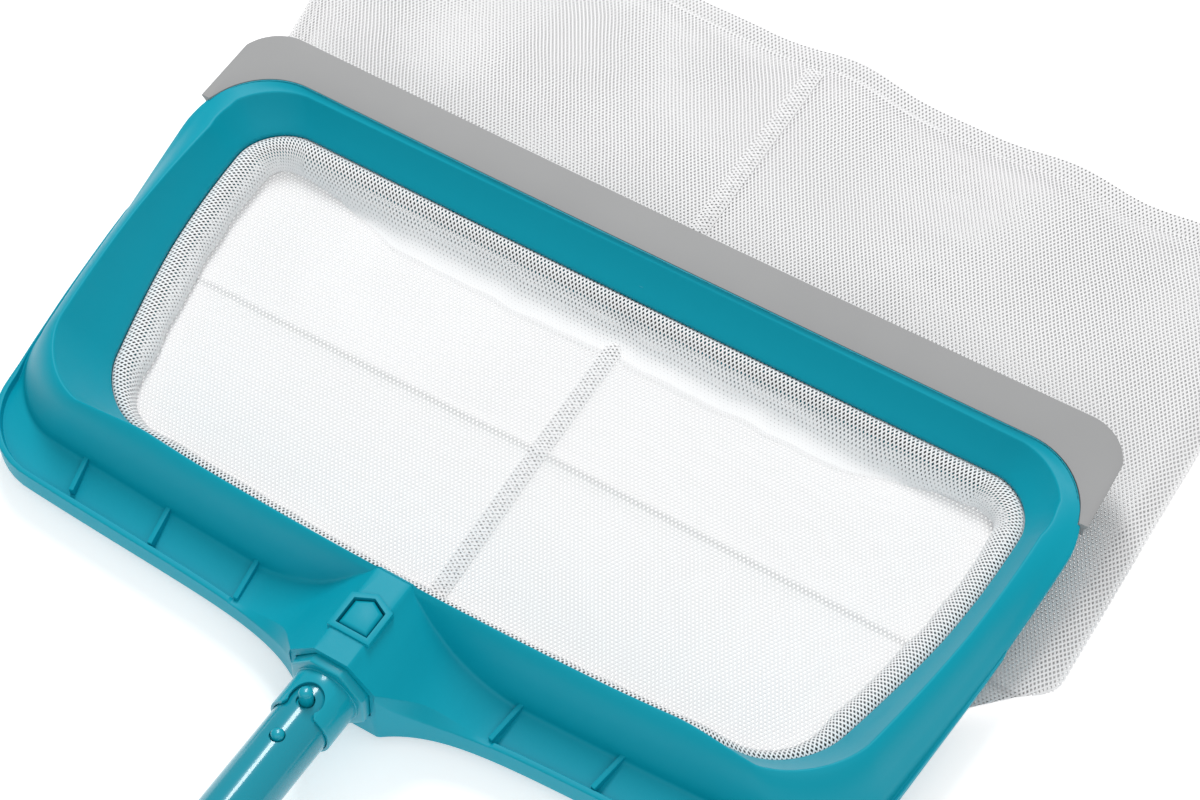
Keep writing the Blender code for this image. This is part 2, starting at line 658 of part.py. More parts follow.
def hem_ring(k):
    """C-shaped section of the mesh hem: open at its lower outer side where it runs into the bag."""
    a0, a1, steps = math.radians(-40), math.radians(290), 10
    outer = [(HEM_R, a0 + (a1 - a0) * i / steps) for i in range(steps + 1)]
    inner = [(HEM_R - HEM_T, a) for _, a in reversed(outer)]
    return [(-HEM_IN + r * math.cos(a), HEM_Z + r * math.sin(a)) for r, a in outer + inner]


def rod_ring(k):
    return [(-HEM_IN + RING_ROD_R * math.cos(math.tau * i / 8), HEM_Z + RING_ROD_R * math.sin(math.tau * i / 8))
            for i in range(8)]


# ------------------------------------------------------------------ bag

def bag_outline(inset):
    half = BAG_HALF - inset
    end = BAG_END_Y - inset
    return [(half, BAG_CORNER_Y + inset * 0.4), (half, end), (0.0, end), (0.0, BAG_NEAR_Y + inset),
            (BAG_NEAR_HALF - inset, BAG_NEAR_Y + inset), (BAG_NEAR_HALF + 27 * MM - inset, -62 * MM)]


def make_bag_half(name, side):
    """One mesh half of the bag: floor, top and edge walls round a flat pocket, open at the mouth."""
    gap = FIT_GAP / 2
    body = prism(name, bag_outline(0.0), GROUND_Z, GROUND_Z + BAG_H, WHITE)
    pocket = prism("pocket", bag_outline(CLOTH_T), GROUND_Z + CLOTH_T, GROUND_Z + BAG_H - CLOTH_T, None, CUTTERS)
    mouth = prism("mouth_hole", [(p.x, p.y) for p in MOUTH], GROUND_Z + CLOTH_T + 1 * MM, GROUND_Z + BAG_H + 5 * MM,
                  None, CUTTERS)
    trim = prism("middle_trim", [(-9 * MM, -400 * MM), (gap, -400 * MM), (gap, 400 * MM), (-9 * MM, 400 * MM)],
                 GROUND_Z - 5 * MM, GROUND_Z + BAG_H + 5 * MM, None, CUTTERS)
    pocket.location.x = -0.05 * MM
    combine(body, [pocket, mouth, trim], "DIFFERENCE")
    if side < 0:
        body.matrix_world = Matrix.Scale(-1, 4, (1, 0, 0))
        applied(body)
        bm = bmesh.new()
        bm.from_mesh(body.data)
        bmesh.ops.recalc_face_normals(bm, faces=bm.faces[:])
        bm.to_mesh(body.data)
        bm.free()
    return body


def make_strip(name, x0, x1, y0, y1, z0, z1, mat):
    return prism(name, [(x0, y0), (x1, y0), (x1, y1), (x0, y1)], z0, z1, mat)


def make_bag():
    halves = [make_bag_half("bag_right", 1), make_bag_half("bag_left", -1)]
    top = GROUND_Z + BAG_H + FIT_GAP
    ring_far = MOUTH_FAR_Y + 22 * MM
    make_strip("seam_upper", -SEAM_W, SEAM_W, ring_far, BAG_END_Y - HEM_BAND - 2 * MM, top, top + SEAM_T, WHITE)
    floor = GROUND_Z + CLOTH_T + FIT_GAP
    make_strip("seam_lower", -SEAM_W, SEAM_W, BAG_NEAR_Y + 8 * MM, BAG_END_Y - 4 * MM, floor, floor + SEAM_T, WHITE)
    make_strip("bag_end_hem", -BAG_HALF, BAG_HALF, BAG_END_Y + FIT_GAP, BAG_END_Y + HEM_BAND, GROUND_Z,
               GROUND_Z + BAG_H * 0.5, WHITE)
    return halves


# ------------------------------------------------------------------ connector, tube, buttons and springs

def tube_piece(name, outer_r, inner_r, s0, s1, mat, steps=32, where=None):
    """Straight pipe along the handle axis from s0 to s1."""
    pipe = turned(name, [(inner_r, s1), (outer_r, s1), (outer_r, s0), (inner_r, s0), (inner_r, s1)], steps, mat, where)
    pipe.matrix_world = axis_matrix(0.0)
    return applied(pipe)


def round_bar(name, radius, low, high, steps, mat, where=None):
    return turned(name, [(0, high), (radius, high), (radius, low), (0, low)], steps, mat, where)


def notch_outline():
    """Plan of the sleeve's notch: round the front button, then flaring to the sleeve's end."""
    arc = [(NOTCH_R * math.sin(a), -NOTCH_R * math.cos(a))
           for a in (math.radians(-100 + 20 * i) for i in range(11))]
    end = SLEEVE_END_S + 3 * MM
    return arc + [(NOTCH_R * 1.0, 3.2 * MM), (NOTCH_FLARE, end), (-NOTCH_FLARE, end), (-NOTCH_R * 1.0, 3.2 * MM)]


def make_connector():
    plug_af = SOCKET_AF - 2 * PLUG_GAP
    plug = octagon_bar("connector", plug_af, PLUG_FACE_S - PLUG_LENGTH, PLUG_FACE_S, TEAL_GLOSS, None, 0.9 * MM)
    applied(plug)
    bore_r = TUBE_OD / 2 + FIT_GAP
    spigot_r = TUBE_OD / 2 - TUBE_WALL - FIT_GAP
    sleeve = tube_piece("sleeve", SLEEVE_OD / 2, bore_r, PLUG_FACE_S - 1.5 * MM, SLEEVE_END_S, TEAL_GLOSS, ROUND_STEPS)
    notch = prism("notch", [(x, -y) for x, y in notch_outline()][::-1], 9 * MM, 30 * MM, None, CUTTERS)
    notch.matrix_world = button_matrix(0.0, 0.0)
    combine(sleeve, [notch], "DIFFERENCE")
    spigot = tube_piece("spigot", spigot_r, spigot_r - SPIGOT_WALL, PLUG_FACE_S - 2.5 * MM, SPIGOT_END_S, TEAL_GLOSS,
                        ROUND_STEPS)
    for i, s in enumerate((0.0, BUTTON_PITCH)):
        hole = round_bar("spigot_hole", BUTTON_R[i] + SPIGOT_HOLE_PLAY, 6 * MM, 20 * MM, 20, None, CUTTERS)
        hole.matrix_world = button_matrix(s, 0.0)
        combine(spigot, [hole], "DIFFERENCE")
    pocket = prism("latch_pocket", window_outline(LATCH_PLAY + 1.2 * MM), latch_floor(), 20 * MM, None, CUTTERS)
    pocket.matrix_world = strap_matrix()
    core = octagon_bar("core", plug_af - 8 * MM, PLUG_FACE_S - PLUG_LENGTH - 5 * MM,
                       PLUG_FACE_S - PLUG_LENGTH + 8 * MM, None, CUTTERS)
    combine(plug, [pocket, core], "DIFFERENCE")
    return combine(plug, [sleeve, spigot], "UNION")


def make_tube():
    start = PLUG_FACE_S + 1.2 * MM
    tube = tube_piece("handle_tube", TUBE_OD / 2, TUBE_OD / 2 - TUBE_WALL, start, start + TUBE_LENGTH, TEAL_GLOSS,
                      ROUND_STEPS)
    holes = []
    for i, s in enumerate((0.0, BUTTON_PITCH)):
        hole = round_bar("tube_hole", TUBE_HOLE_R[i], 5 * MM, 30 * MM, 24, None, CUTTERS)
        hole.matrix_world = button_matrix(s, 0.0)
        holes.append(hole)
    return combine(tube, holes, "DIFFERENCE")


def make_tube_plug():
    end = PLUG_FACE_S + 1.2 * MM + TUBE_LENGTH
    inner = TUBE_OD / 2 - TUBE_WALL - FIT_GAP
    lip = TUBE_OD / 2
    depth = 14 * MM
    plug = turned("tube_plug", [(0, end + 2.6 * MM), (lip - 1 * MM, end + 2.6 * MM), (lip, end + 1.8 * MM),
                                (lip, end + FIT_GAP), (inner, end + FIT_GAP), (inner, end - depth),
                                (0, end - depth)], 32, TEAL)
    plug.matrix_world = axis_matrix(0.0)
    return applied(plug)


def make_snap_button(i):
    """Round spring button with its foot inside the spigot; its origin is on its own axis."""
    s = i * BUTTON_PITCH
    top = TUBE_OD / 2 + BUTTON_STAND[i]
    r = BUTTON_R[i]
    spigot_in = TUBE_OD / 2 - TUBE_WALL - FIT_GAP - SPIGOT_WALL
    foot = math.sqrt(spigot_in ** 2 - BUTTON_FOOT_R ** 2) - 0.5 * MM
    dome = 1.6 * MM
    profile = [(0, top), (r * 0.45, top - dome * 0.12), (r * 0.8, top - dome * 0.45), (r, top - dome), (r, foot),
               (BUTTON_FOOT_R, foot), (BUTTON_FOOT_R, foot - BUTTON_FOOT_T), (0, foot - BUTTON_FOOT_T)]
    button = turned("snap_button_%d" % (i + 1), profile, 20, TEAL_GLOSS)
    button.matrix_world = button_matrix(s, 0.0)
    return button, foot - BUTTON_FOOT_T


def make_clip(i, foot):
    """Folded spring strip: one leg under the button's foot, the bend ahead, the other leg on the bore."""
    s = i * BUTTON_PITCH
    bore = TUBE_OD / 2 - TUBE_WALL - FIT_GAP - SPIGOT_WALL
    high = foot - 0.35 * MM
    low = -math.sqrt(bore ** 2 - (CLIP_W / 2) ** 2) + 0.4 * MM
    tail = 7.0 * MM
    bend = -9.5 * MM
    mid = (high + low) / 2
    line = [(s + tail * 0.6, high - CLIP_T / 2), (s - 4 * MM, high - CLIP_T / 2), (s + bend, mid),
            (s - 4 * MM, low + CLIP_T / 2), (s + tail, low + CLIP_T / 2)]
    upper = offset_line(line, CLIP_T / 2)
    lower = offset_line(line, -CLIP_T / 2)
    half = CLIP_W / 2
    sections = []
    for (a, b), (c, d) in zip(upper, lower):
        sections.append([axis_point(a, b, -half), axis_point(a, b, half),
                         axis_point(c, d, half), axis_point(c, d, -half)])
    return loft("snap_clip_%d" % (i + 1), sections, STEEL, False)


def latch_floor():
    """Floor of the latch pocket, below the strap's top."""
    return -(LATCH_BODY + 6.5 * MM)


def make_latch():
    """Pentagonal latch button with a chamfered crown, on a short round stem over its spring."""
    low = -LATCH_BODY
    bm = bmesh.new()
    rows = []
    for z, grow in ((low, -LATCH_PLAY), (LATCH_TOP - 1.2 * MM, -LATCH_PLAY), (LATCH_TOP, -LATCH_PLAY - 1.3 * MM)):
        rows.append([bm.verts.new((x, y, z)) for x, y in window_outline(grow)])
    for a, b in zip(rows, rows[1:]):
        for j in range(6):
            bm.faces.new((a[j], a[(j + 1) % 6], b[(j + 1) % 6], b[j]))
    bm.faces.new(rows[0][::-1])
    bm.faces.new(rows[-1])
    latch = from_bmesh("latch_button", bm, TEAL)
    latch.matrix_world = strap_matrix()
    return latch


def make_latch_spring():
    low = latch_floor() + SPRING_WIRE_R + 0.3 * MM
    high = -LATCH_BODY - SPRING_WIRE_R - 0.3 * MM
    curve = bpy.data.curves.new("latch_spring", "CURVE")
    curve.dimensions = "3D"
    curve.bevel_depth = SPRING_WIRE_R
    curve.bevel_resolution = 1
    curve.resolution_u = 1
    curve.use_fill_caps = True
    steps = SPRING_TURNS * 10
    line = curve.splines.new("POLY")
    line.points.add(steps)
    for i in range(steps + 1):
        a = math.tau * i / 10
        line.points[i].co = (SPRING_R * math.cos(a), SPRING_R * math.sin(a), low + (high - low) * i / steps, 1)
    coil = bpy.data.objects.new("latch_spring", curve)
    PARTS.objects.link(coil)
    coil.matrix_world = strap_matrix()
    bpy.context.view_layer.update()
    mesh = bpy.data.meshes.new_from_object(coil.evaluated_get(bpy.context.evaluated_depsgraph_get()))
    bm = bmesh.new()
    bm.from_mesh(mesh)
    bmesh.ops.remove_doubles(bm, verts=bm.verts[:], dist=0.001 * MM)
    place = coil.matrix_world.copy()
    bpy.data.objects.remove(coil, do_unlink=True)
    spring = from_bmesh("latch_spring", bm, STEEL)
    spring.matrix_world = place
    return spring


# ------------------------------------------------------------------ assembly

make_frame()
make_blade()
make_rear_ring()
make_screws()
around_mouth("net_hem", hem_ring, WHITE)
around_mouth("net_ring", rod_ring, DARK)
make_bag()
make_connector()
make_tube()
make_tube_plug()
for index in range(2):
    snap, foot_z = make_snap_button(index)
    make_clip(index, foot_z)
make_latch()
make_latch_spring()


def stand_on_ground():
    """Lift the object onto Z = 0 and centre its box on the origin."""
    bpy.context.view_layer.update()
    graph = bpy.context.evaluated_depsgraph_get()
    low = Vector((1e9,) * 3)
    high = Vector((-1e9,) * 3)
    for ob in PARTS.objects:
        mesh = ob.evaluated_get(graph).to_mesh()
        for v in mesh.vertices:
            p = ob.matrix_world @ v.co
            low = Vector(map(min, low, p))
            high = Vector(map(max, high, p))
        ob.evaluated_get(graph).to_mesh_clear()
    lift = Vector((0, -(low.y + high.y) / 2, -GROUND_Z))
    for ob in PARTS.objects:
        ob.matrix_world = Matrix.Translation(lift) @ ob.matrix_world
    return lift


stand_on_ground()
for ob in list(CUTTERS.objects):
    cutter(ob)
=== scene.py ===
import math

import bmesh
import bpy
import numpy as np
from mathutils import Matrix, Vector


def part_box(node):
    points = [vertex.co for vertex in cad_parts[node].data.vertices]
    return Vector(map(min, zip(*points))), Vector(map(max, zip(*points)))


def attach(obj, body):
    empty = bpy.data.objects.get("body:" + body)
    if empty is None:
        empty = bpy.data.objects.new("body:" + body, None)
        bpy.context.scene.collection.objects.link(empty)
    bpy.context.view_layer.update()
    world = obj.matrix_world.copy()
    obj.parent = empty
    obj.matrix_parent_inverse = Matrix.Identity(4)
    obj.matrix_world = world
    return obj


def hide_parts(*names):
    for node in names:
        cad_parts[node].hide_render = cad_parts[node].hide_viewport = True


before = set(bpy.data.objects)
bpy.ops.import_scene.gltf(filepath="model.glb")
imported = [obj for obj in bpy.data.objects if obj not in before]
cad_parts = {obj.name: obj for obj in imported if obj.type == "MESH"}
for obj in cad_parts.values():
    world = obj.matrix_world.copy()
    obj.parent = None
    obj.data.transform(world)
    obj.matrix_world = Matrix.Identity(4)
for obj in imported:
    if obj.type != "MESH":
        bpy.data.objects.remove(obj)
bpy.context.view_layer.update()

# ---------------------------------------------------------------- front frame
# One moulding of teal polypropylene: the sloped lip round the mouth, the ridge, the flank outside it,
# and on the handle side a shallow flange with a raised rim that swells into the hub and its socket.
# Lengths are in metres about the middle of the mouth; set_down() puts a piece where the frame lies.
MM = 0.001
MOUTH_AT = Vector((0.0, 97.85 * MM, 20.0 * MM))
ARC_STEPS = 18
SIDE_STEPS = 34
FAR_STEPS = 60
RUN_STEPS = 12
NEAR_XS = ([0.01, 3, 6, 9.2, 9.8] + [11 + 1.6 * i for i in range(14)] + [35 + 3 * i for i in range(13)]
           + [72.5, 74.5, 76.0, 77.6, 79.5, 83, 88, 94, 101, 109, 118, 128, 138, 150])
NEAR_XS = [x * MM for x in NEAR_XS]


def smooth(edge0, edge1, v):
    t = min(1.0, max(0.0, (v - edge0) / (edge1 - edge0)))
    return t * t * (3 - 2 * t)


def read(table, v):
    """Smooth reading of a short (position, value) table given in millimetres."""
    return float(np.interp(v / MM, [a for a, _ in table], [b for _, b in table])) * MM


def rounded_loop(near_half, far_half, near_y, far_y, near_r, far_r, side_bulge, near_bulge, far_bulge):
    """Stations round a rounded trapezoid with bowed sides, from the near left corner anticlockwise."""
    corners = ((-near_half, near_y, near_r), (near_half, near_y, near_r), (far_half, far_y, far_r),
               (-far_half, far_y, far_r))
    arcs = []
    for i, (x, y, r) in enumerate(corners):
        here = Vector((x, y)) * MM
        back = (Vector(corners[i - 1][:2]) * MM - here).normalized()
        on = (Vector(corners[(i + 1) % 4][:2]) * MM - here).normalized()
        half = back.angle(on) / 2
        centre = here + (back + on).normalized() * (r * MM / math.sin(half))
        start = here + back * (r * MM / math.tan(half)) - centre
        turn = math.pi - 2 * half
        arcs.append([Matrix.Rotation(turn * k / ARC_STEPS, 2) @ start + centre for k in range(ARC_STEPS + 1)])
    last = NEAR_XS[-1]
    run = [last + (arcs[1][0].x - last) * i / RUN_STEPS for i in range(1, RUN_STEPS)]
    xs = [-x for x in run[::-1]] + [-x for x in NEAR_XS[::-1]] + NEAR_XS + run
    points = arcs[0] + [Vector((x, near_y * MM)) for x in xs] + arcs[1]
    for a, b, steps, following in ((arcs[1][-1], arcs[2][0], SIDE_STEPS, arcs[2]),
                                   (arcs[2][-1], arcs[3][0], FAR_STEPS, arcs[3]),
                                   (arcs[3][-1], arcs[0][0], SIDE_STEPS, [])):
        points += [a.lerp(b, k / steps) for k in range(1, steps)] + following
    mid_y = (far_y + near_y) / 2 * MM
    half_y = (far_y - near_y) / 2 * MM
    half_x = (far_half + near_half) / 2 * MM
    out = []
    for p in points:
        across = max(0.0, 1 - (p.x / half_x) ** 2)
        along = max(0.0, 1 - ((p.y - mid_y) / half_y) ** 2)
        lean = (p.y - mid_y) / half_y
        y = p.y + (far_bulge * max(lean, 0.0) - near_bulge * max(-lean, 0.0)) * across * MM
        x = p.x + side_bulge * MM * along * math.copysign(min(1.0, abs(p.x) / half_x) ** 4, p.x)
        out.append(Vector((x, y)))
    return out


MOUTH = rounded_loop(208.3, 237.4, -101.0, 92.7, 33.8, 24.6, 9.9, 12.0, -1.1)
RIDGE = rounded_loop(229.8, 250.4, -110.6, 106.5, 28.7, 32.0, 9.9, 15.5, -0.5)
EDGE = rounded_loop(247.0, 268.4, -131.0, 111.5, 40.0, 50.0, 4.0, 10.5, 0.0)
RIM = rounded_loop(247.5, 268.4, -156.0, 111.5, 40.0, 50.0, 4.0, 8.5, 0.0)
COUNT = len(MOUTH)
NEAR_FIRST = ARC_STEPS + 1
NEAR_COUNT = 2 * (len(NEAR_XS) + RUN_STEPS - 1)
NEAR = range(NEAR_FIRST, NEAR_FIRST + NEAR_COUNT)
GROOVE = rounded_loop(248.3, 264.3, -131.0, 109.9, 40.0, 42.0, 3.0, 0.0, -1.2)
TIP = rounded_loop(254.3, 267.4, -131.0, 135.1, 40.0, 25.8, 4.0, 0.0, -1.9)
RIGHT_SIDE = NEAR_FIRST + NEAR_COUNT + ARC_STEPS + 1
BLADE_END = 76.7 * MM
EDGE_HEIGHTS = ((-145, 3.0), (-120, 4.0), (-95, 6.0), (-60, 7.5), (0, 7.2), (25, 10.0), (66, 15.0),
                (85, 18.0), (112, 18.8))
FLANK = ((0.0, 0.0), (0.19, 0.07), (0.37, 0.205), (0.52, 0.36), (0.65, 0.54), (0.75, 0.67), (0.86, 0.79),
         (0.94, 0.89), (1.0, 1.0))
HUB_HALF = 76.8 * MM
# Across the hub, at distances from its middle: the flank's foot, the strap's inner and outer edges, the rim.
HUB_FOOT = ((0, 41.3), (9.6, 41.0), (12, 38.5), (16, 35.2), (20, 32.0), (24, 28.2), (29, 23.7), (34, 19.3),
            (39, 15.8), (44, 13.1), (50, 10.4), (58, 7.4), (68, 4.6), (78, 3.0))
HUB_INNER = ((0, 45.1), (9.6, 45.1), (16, 39.3), (23, 33.0), (26, 30.0), (30, 25.5), (34, 21.3), (38, 17.6),
             (44, 13.4), (50, 10.3), (58, 7.4), (66, 5.4), (73, 4.4), (78, 4.0))
HUB_OUTER = ((0, 45.4), (9.6, 45.4), (16, 39.3), (23, 32.8), (26, 25.5), (30, 18.0), (36, 12.4), (44, 8.3),
             (52, 6.2), (64, 5.2), (78, 5.2))
HUB_BAND = ((0, 0.9), (24, 1.2), (30, 2.8), (36, 5.4), (42, 6.6), (50, 6.0), (60, 4.6), (70, 3.4),
            (78, 3.2))
FLOOR_Z = 1.0 * MM
RIM_TOP = 5.5 * MM
RIM_W = 3.2 * MM
RIM_FOOT = -9.0 * MM
WALL = 2.3 * MM


def ridge_height(p):
    near = 3.0 * MM * max(0.0, 1 - (p.x / (120 * MM)) ** 2) if p.y < -100 * MM else 0.0
    return 26.2 * MM - 0.09 * p.y + near


def swollen(p):
    """The rim's outline, pushed out toward the handle round the hub."""
    if p.y > -150 * MM or abs(p.x) > 200 * MM:
        return p
    return Vector((p.x, p.y - 19.0 * MM * math.exp(-max(abs(p.x) - 23 * MM, 0.0) / (25 * MM))))


RIM_LINE = [swollen(p) for p in RIM]


def reach_to(line, start, along):
    """How far it is from a start point along a direction to a closed line; 0 if the line isn't ahead."""
    best = 0.0
    for k, a in enumerate(line):
        edge = line[(k + 1) % len(line)] - a
        cross = along.x * edge.y - along.y * edge.x
        if abs(cross) < 1e-12:
            continue
        gap = a - start
        far = (gap.x * edge.y - gap.y * edge.x) / cross
        share = (gap.x * along.y - gap.y * along.x) / cross
        if 0 <= share <= 1 and 0 < far < 70 * MM:
            best = far if best == 0.0 else min(best, far)
    return best


def soften(corners):
    """Round each (u, z, radius, steps) corner of a closed line with a short curve."""
    out = []
    for i, (u, z, r, steps) in enumerate(corners):
        here = Vector((u, z))
        before = Vector(corners[i - 1][:2])
        after = Vector(corners[(i + 1) % len(corners)][:2])
        if steps == 0:
            out.append(here)
            continue
        a, b = before - here, after - here
        start = here + a.normalized() * min(r, a.length * 0.48)
        end = here + b.normalized() * min(r, b.length * 0.48)
        for j in range(steps + 1):
            t = j / steps
            out.append(start * (1 - t) ** 2 + here * (2 * t * (1 - t)) + end * t * t)
    return out


def frame_section(k):
    """Closed section of the moulding at one station, as (distance out from the mouth edge, height)."""
    m, r, e = MOUTH[k], RIDGE[k], EDGE[k]
    if k > RIGHT_SIDE and e.y > BLADE_END + 3.5 * MM:
        e = m + (GROOVE[k] - m) * 0.998
    out = (e - m).normalized()
    ur, ue = (r - m).dot(out), (e - m).length
    zr, ze = ridge_height(r), read(EDGE_HEIGHTS, e.y)
    wide = 0.0 if e.y > 0 else reach_to(RIM_LINE, e, out)
    flange = smooth(1.0 * MM, 8 * MM, wide)
    w = ue + wide * smooth(0.0, 1.5 * MM, wide)
    a = abs(e.x)
    hub = k in NEAR and a < HUB_HALF
    curve = [(ur + (ue - ur) * f, zr - (zr - ze) * g) for f, g in FLANK]
    foot_z = read(HUB_FOOT, a) if hub else ze
    us = np.linspace(0, 1, 60)
    cu = np.interp(us, np.linspace(0, 1, len(curve)), [c[0] for c in curve])
    cz = np.interp(us, np.linspace(0, 1, len(curve)), [c[1] for c in curve])
    stop = 1.0
    if hub:
        low = np.nonzero(cz <= foot_z)[0]
        stop = us[low[0]] if len(low) else 1.0
        if foot_z > zr - 0.4 * MM:
            stop = 0.02
    flank = [(float(np.interp(stop * t, us, cu)), float(np.interp(stop * t, us, cz)))
             for t in (0.12, 0.25, 0.38, 0.5, 0.62, 0.74, 0.87)]
    foot = (float(np.interp(stop, us, cu)), foot_z if hub else ze)
    if hub:
        inner_z, outer_z, band = read(HUB_INNER, a), read(HUB_OUTER, a), read(HUB_BAND, a)
        floor = (w - band - 0.6 * MM, inner_z - 0.02 * MM)
        rim_in = (w - band, inner_z)
        rim_out = (w, outer_z)
        under = outer_z - 3.5 * MM
    else:
        floor = (w - (RIM_W - 0.5 * MM) * flange - 1.1 * MM, ze + (FLOOR_Z - ze) * flange)
        rim_in = (w - (RIM_W - 0.5 * MM) * flange - 0.6 * MM, ze + (RIM_TOP - ze) * flange)
        rim_out = (w, rim_in[1])
        under = floor[1] - WALL
    bottom = (ze - WALL) * (1 - flange) + RIM_FOOT * flange
    top = [(0.0, -2.4 * MM, 0.4 * MM, 2), (0.0, 0.0, 0.5 * MM, 2)]
    for t in (0.25, 0.5, 0.75, 0.93):
        top.append((ur * t, zr * t - 1.1 * MM * math.sin(math.pi * t), 0, 0))
    top.append((ur, zr, 1.5 * MM, 5))
    top += [(u, z, 0, 0) for u, z in flank]
    top.append((foot[0], foot[1], 2.2 * MM, 4))
    top.append((floor[0], floor[1], 0.8 * MM, 3))
    fade = 5.0 * MM * (1 - smooth(34 * MM, 50 * MM, a)) if hub else 0.0
    top.append((rim_in[0], rim_in[1], 0.7 * MM + fade, 5))
    top.append((rim_out[0], rim_out[1], 1.0 * MM, 4))
    slant = 0.4 * MM * flange
    top.append((w + slant, bottom, 0.3 * MM, 1))
    top.append((w + slant - WALL, bottom, 0.3 * MM, 1))
    top.append((w - WALL - 0.2 * MM, min(under, rim_out[1] - 1.5 * MM), 0, 0))
    back = min(foot[1], floor[1]) - WALL if flange > 0.5 else foot[1] - WALL
    top.append((foot[0] - 1.8 * MM, max(back, bottom + 0.3 * MM), 0, 0))
    for i in (5, 3, 1):
        u, z = flank[i]
        top.append((u - 1.5 * MM, z - 2.2 * MM, 0, 0))
    top.append((ur + 0.2 * MM, zr - 3.2 * MM, 0, 0))
    top.append((1.9 * MM, -0.9 * MM, 0, 0))
    top.append((1.5 * MM, -2.4 * MM, 0.3 * MM, 1))
    return m, out, soften(top)


def skin(name, rings, around=True):
    """A closed skin over a row of equal point rings; around joins the last ring to the first."""
    bm = bmesh.new()
    rows = [[bm.verts.new(p) for p in ring] for ring in rings]
    for i in range(len(rows) if around else len(rows) - 1):
        a, b = rows[i], rows[(i + 1) % len(rows)]
        for j in range(len(a)):
            k = (j + 1) % len(a)
            bm.faces.new((a[j], a[k], b[k], b[j]))
    if not around:
        bm.faces.new(rows[0])
        bm.faces.new(rows[-1])
    return to_object(name, bm)


def to_object(name, bm):
    bmesh.ops.remove_doubles(bm, verts=bm.verts[:], dist=0.0002 * MM)
    bmesh.ops.recalc_face_normals(bm, faces=bm.faces[:])
    mesh = bpy.data.meshes.new(name)
    bm.to_mesh(mesh)
    bm.free()
    made = bpy.data.objects.new(name, mesh)
    bpy.context.scene.collection.objects.link(made)
    return made


def baked(ob):
    """The object's evaluated mesh with its place in it and no modifiers."""
    bpy.context.view_layer.update()
    mesh = bpy.data.meshes.new_from_object(ob.evaluated_get(bpy.context.evaluated_depsgraph_get()))
    mesh.transform(ob.matrix_world)
    ob.modifiers.clear()
    ob.data = mesh
    ob.matrix_world = Matrix.Identity(4)
    return ob


def carve(ob, tools, operation="DIFFERENCE"):
    for tool in tools:
        baked(tool)
        cut = ob.modifiers.new("cut", "BOOLEAN")
        cut.operation = operation
        cut.solver = "EXACT"
        cut.object = tool
        baked(ob)
        bpy.data.objects.remove(tool, do_unlink=True)
    return ob


def shade(ob, degrees=35):
    for face in ob.data.polygons:
        face.use_smooth = True
    ob.data.set_sharp_from_angle(angle=math.radians(degrees))


def set_down(ob, finish, slot, body, *nodes, degrees=35):
    """Shade a finished piece, give it its finish, put it in place and let it ride its body."""
    shade(ob, degrees)
    ob.data.transform(Matrix.Translation(MOUTH_AT))
    ob.data.materials.clear()
    ob.data.materials.append(finish)
    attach(ob, body)
    if nodes:
        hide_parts(*nodes)
    return ob


class Value:
    """A number on a shader socket: working with it adds Math nodes."""

    def __init__(self, tree, socket):
        self.tree = tree
        self.socket = socket

    def math(self, operation, *terms):
        node = self.tree.nodes.new("ShaderNodeMath")
        node.operation = operation
        for place, term in zip(node.inputs, (self, *terms)):
            if isinstance(term, Value):
                self.tree.links.new(term.socket, place)
            else:
                place.default_value = term
        return Value(self.tree, node.outputs[0])

    def __add__(self, other):
        return self.math("ADD", other)

    def __sub__(self, other):
        return self.math("SUBTRACT", other)

    def __mul__(self, other):
        return self.math("MULTIPLY", other)

    def __truediv__(self, other):
        return self.math("DIVIDE", other)


class Finish:
    """A material under construction: its tree, its Principled shader and one way to add any node."""

    def __init__(self, name):
        self.material = bpy.data.materials.new(name)
        self.material.use_nodes = True
        self.tree = self.material.node_tree
        self.shader = self.tree.nodes["Principled BSDF"]

    def node(self, kind, settings=None, out=0, **sockets):
        made = self.tree.nodes.new("ShaderNode" + kind)
        for key, setting in (settings or {}).items():
            setattr(made, key, setting)
        for key, given in sockets.items():
            place = made.inputs[int(key[1:])] if key[1:].isdigit() else made.inputs[key.replace("_", " ")]
            self.feed(place, given)
        return Value(self.tree, made.outputs[out])

    def feed(self, place, given):
        if isinstance(given, Value):
            self.tree.links.new(given.socket, place)
        else:
            place.default_value = given

    def set(self, **sockets):
        for key, given in sockets.items():
            self.feed(self.shader.inputs[key.replace("_", " ")], given)
        return self

    def place(self):
        return self.node("TexCoord", out=3)

    def noise(self, scale, detail=2.0, rough=0.5, at=None):
        return self.node("TexNoise", Vector=at or self.place(), Scale=scale, Detail=detail, Roughness=rough)

    def blend(self, amount, a, b):
        return self.node("Mix", {"data_type": "RGBA"}, out=2, i0=amount, i6=a, i7=b)

    def bump(self, height, strength, depth):
        self.set(Normal=self.node("Bump", Height=height, Strength=strength, Distance=depth))
        return self

    def ramp(self, value, low, high, start=0.0, end=1.0):
        """Start below low and end above high, even between."""
        return self.node("MapRange", {"clamp": True}, Value=value, i1=low, i2=high, i3=start, i4=end)


def teal_plastic(name, base, deep, roughness, grain, shine, coat):
    """Through-coloured moulded plastic: spark-eroded grain, slow shade drift and faint handling marks."""
    f = Finish(name)
    drift = f.noise(9.0, 3.0)
    fine = f.noise(2600.0, 2.0, 0.6)
    rub = f.ramp(f.noise(55.0, 5.0, 0.65), 0.55, 0.8)
    f.set(Base_Color=f.blend(drift * 0.55 + rub * 0.12, (*base, 1), (*deep, 1)))
    f.set(Roughness=fine * 0.12 + rub * 0.07 + (roughness - 0.06), IOR=1.5)
    f.shader.inputs["Specular IOR Level"].default_value = shine
    f.shader.inputs["Coat Weight"].default_value = coat
    f.shader.inputs["Coat Roughness"].default_value = 0.12
    f.bump(fine + f.noise(700.0, 2.0) * 0.8, grain, 0.06 * MM)
    return f.material


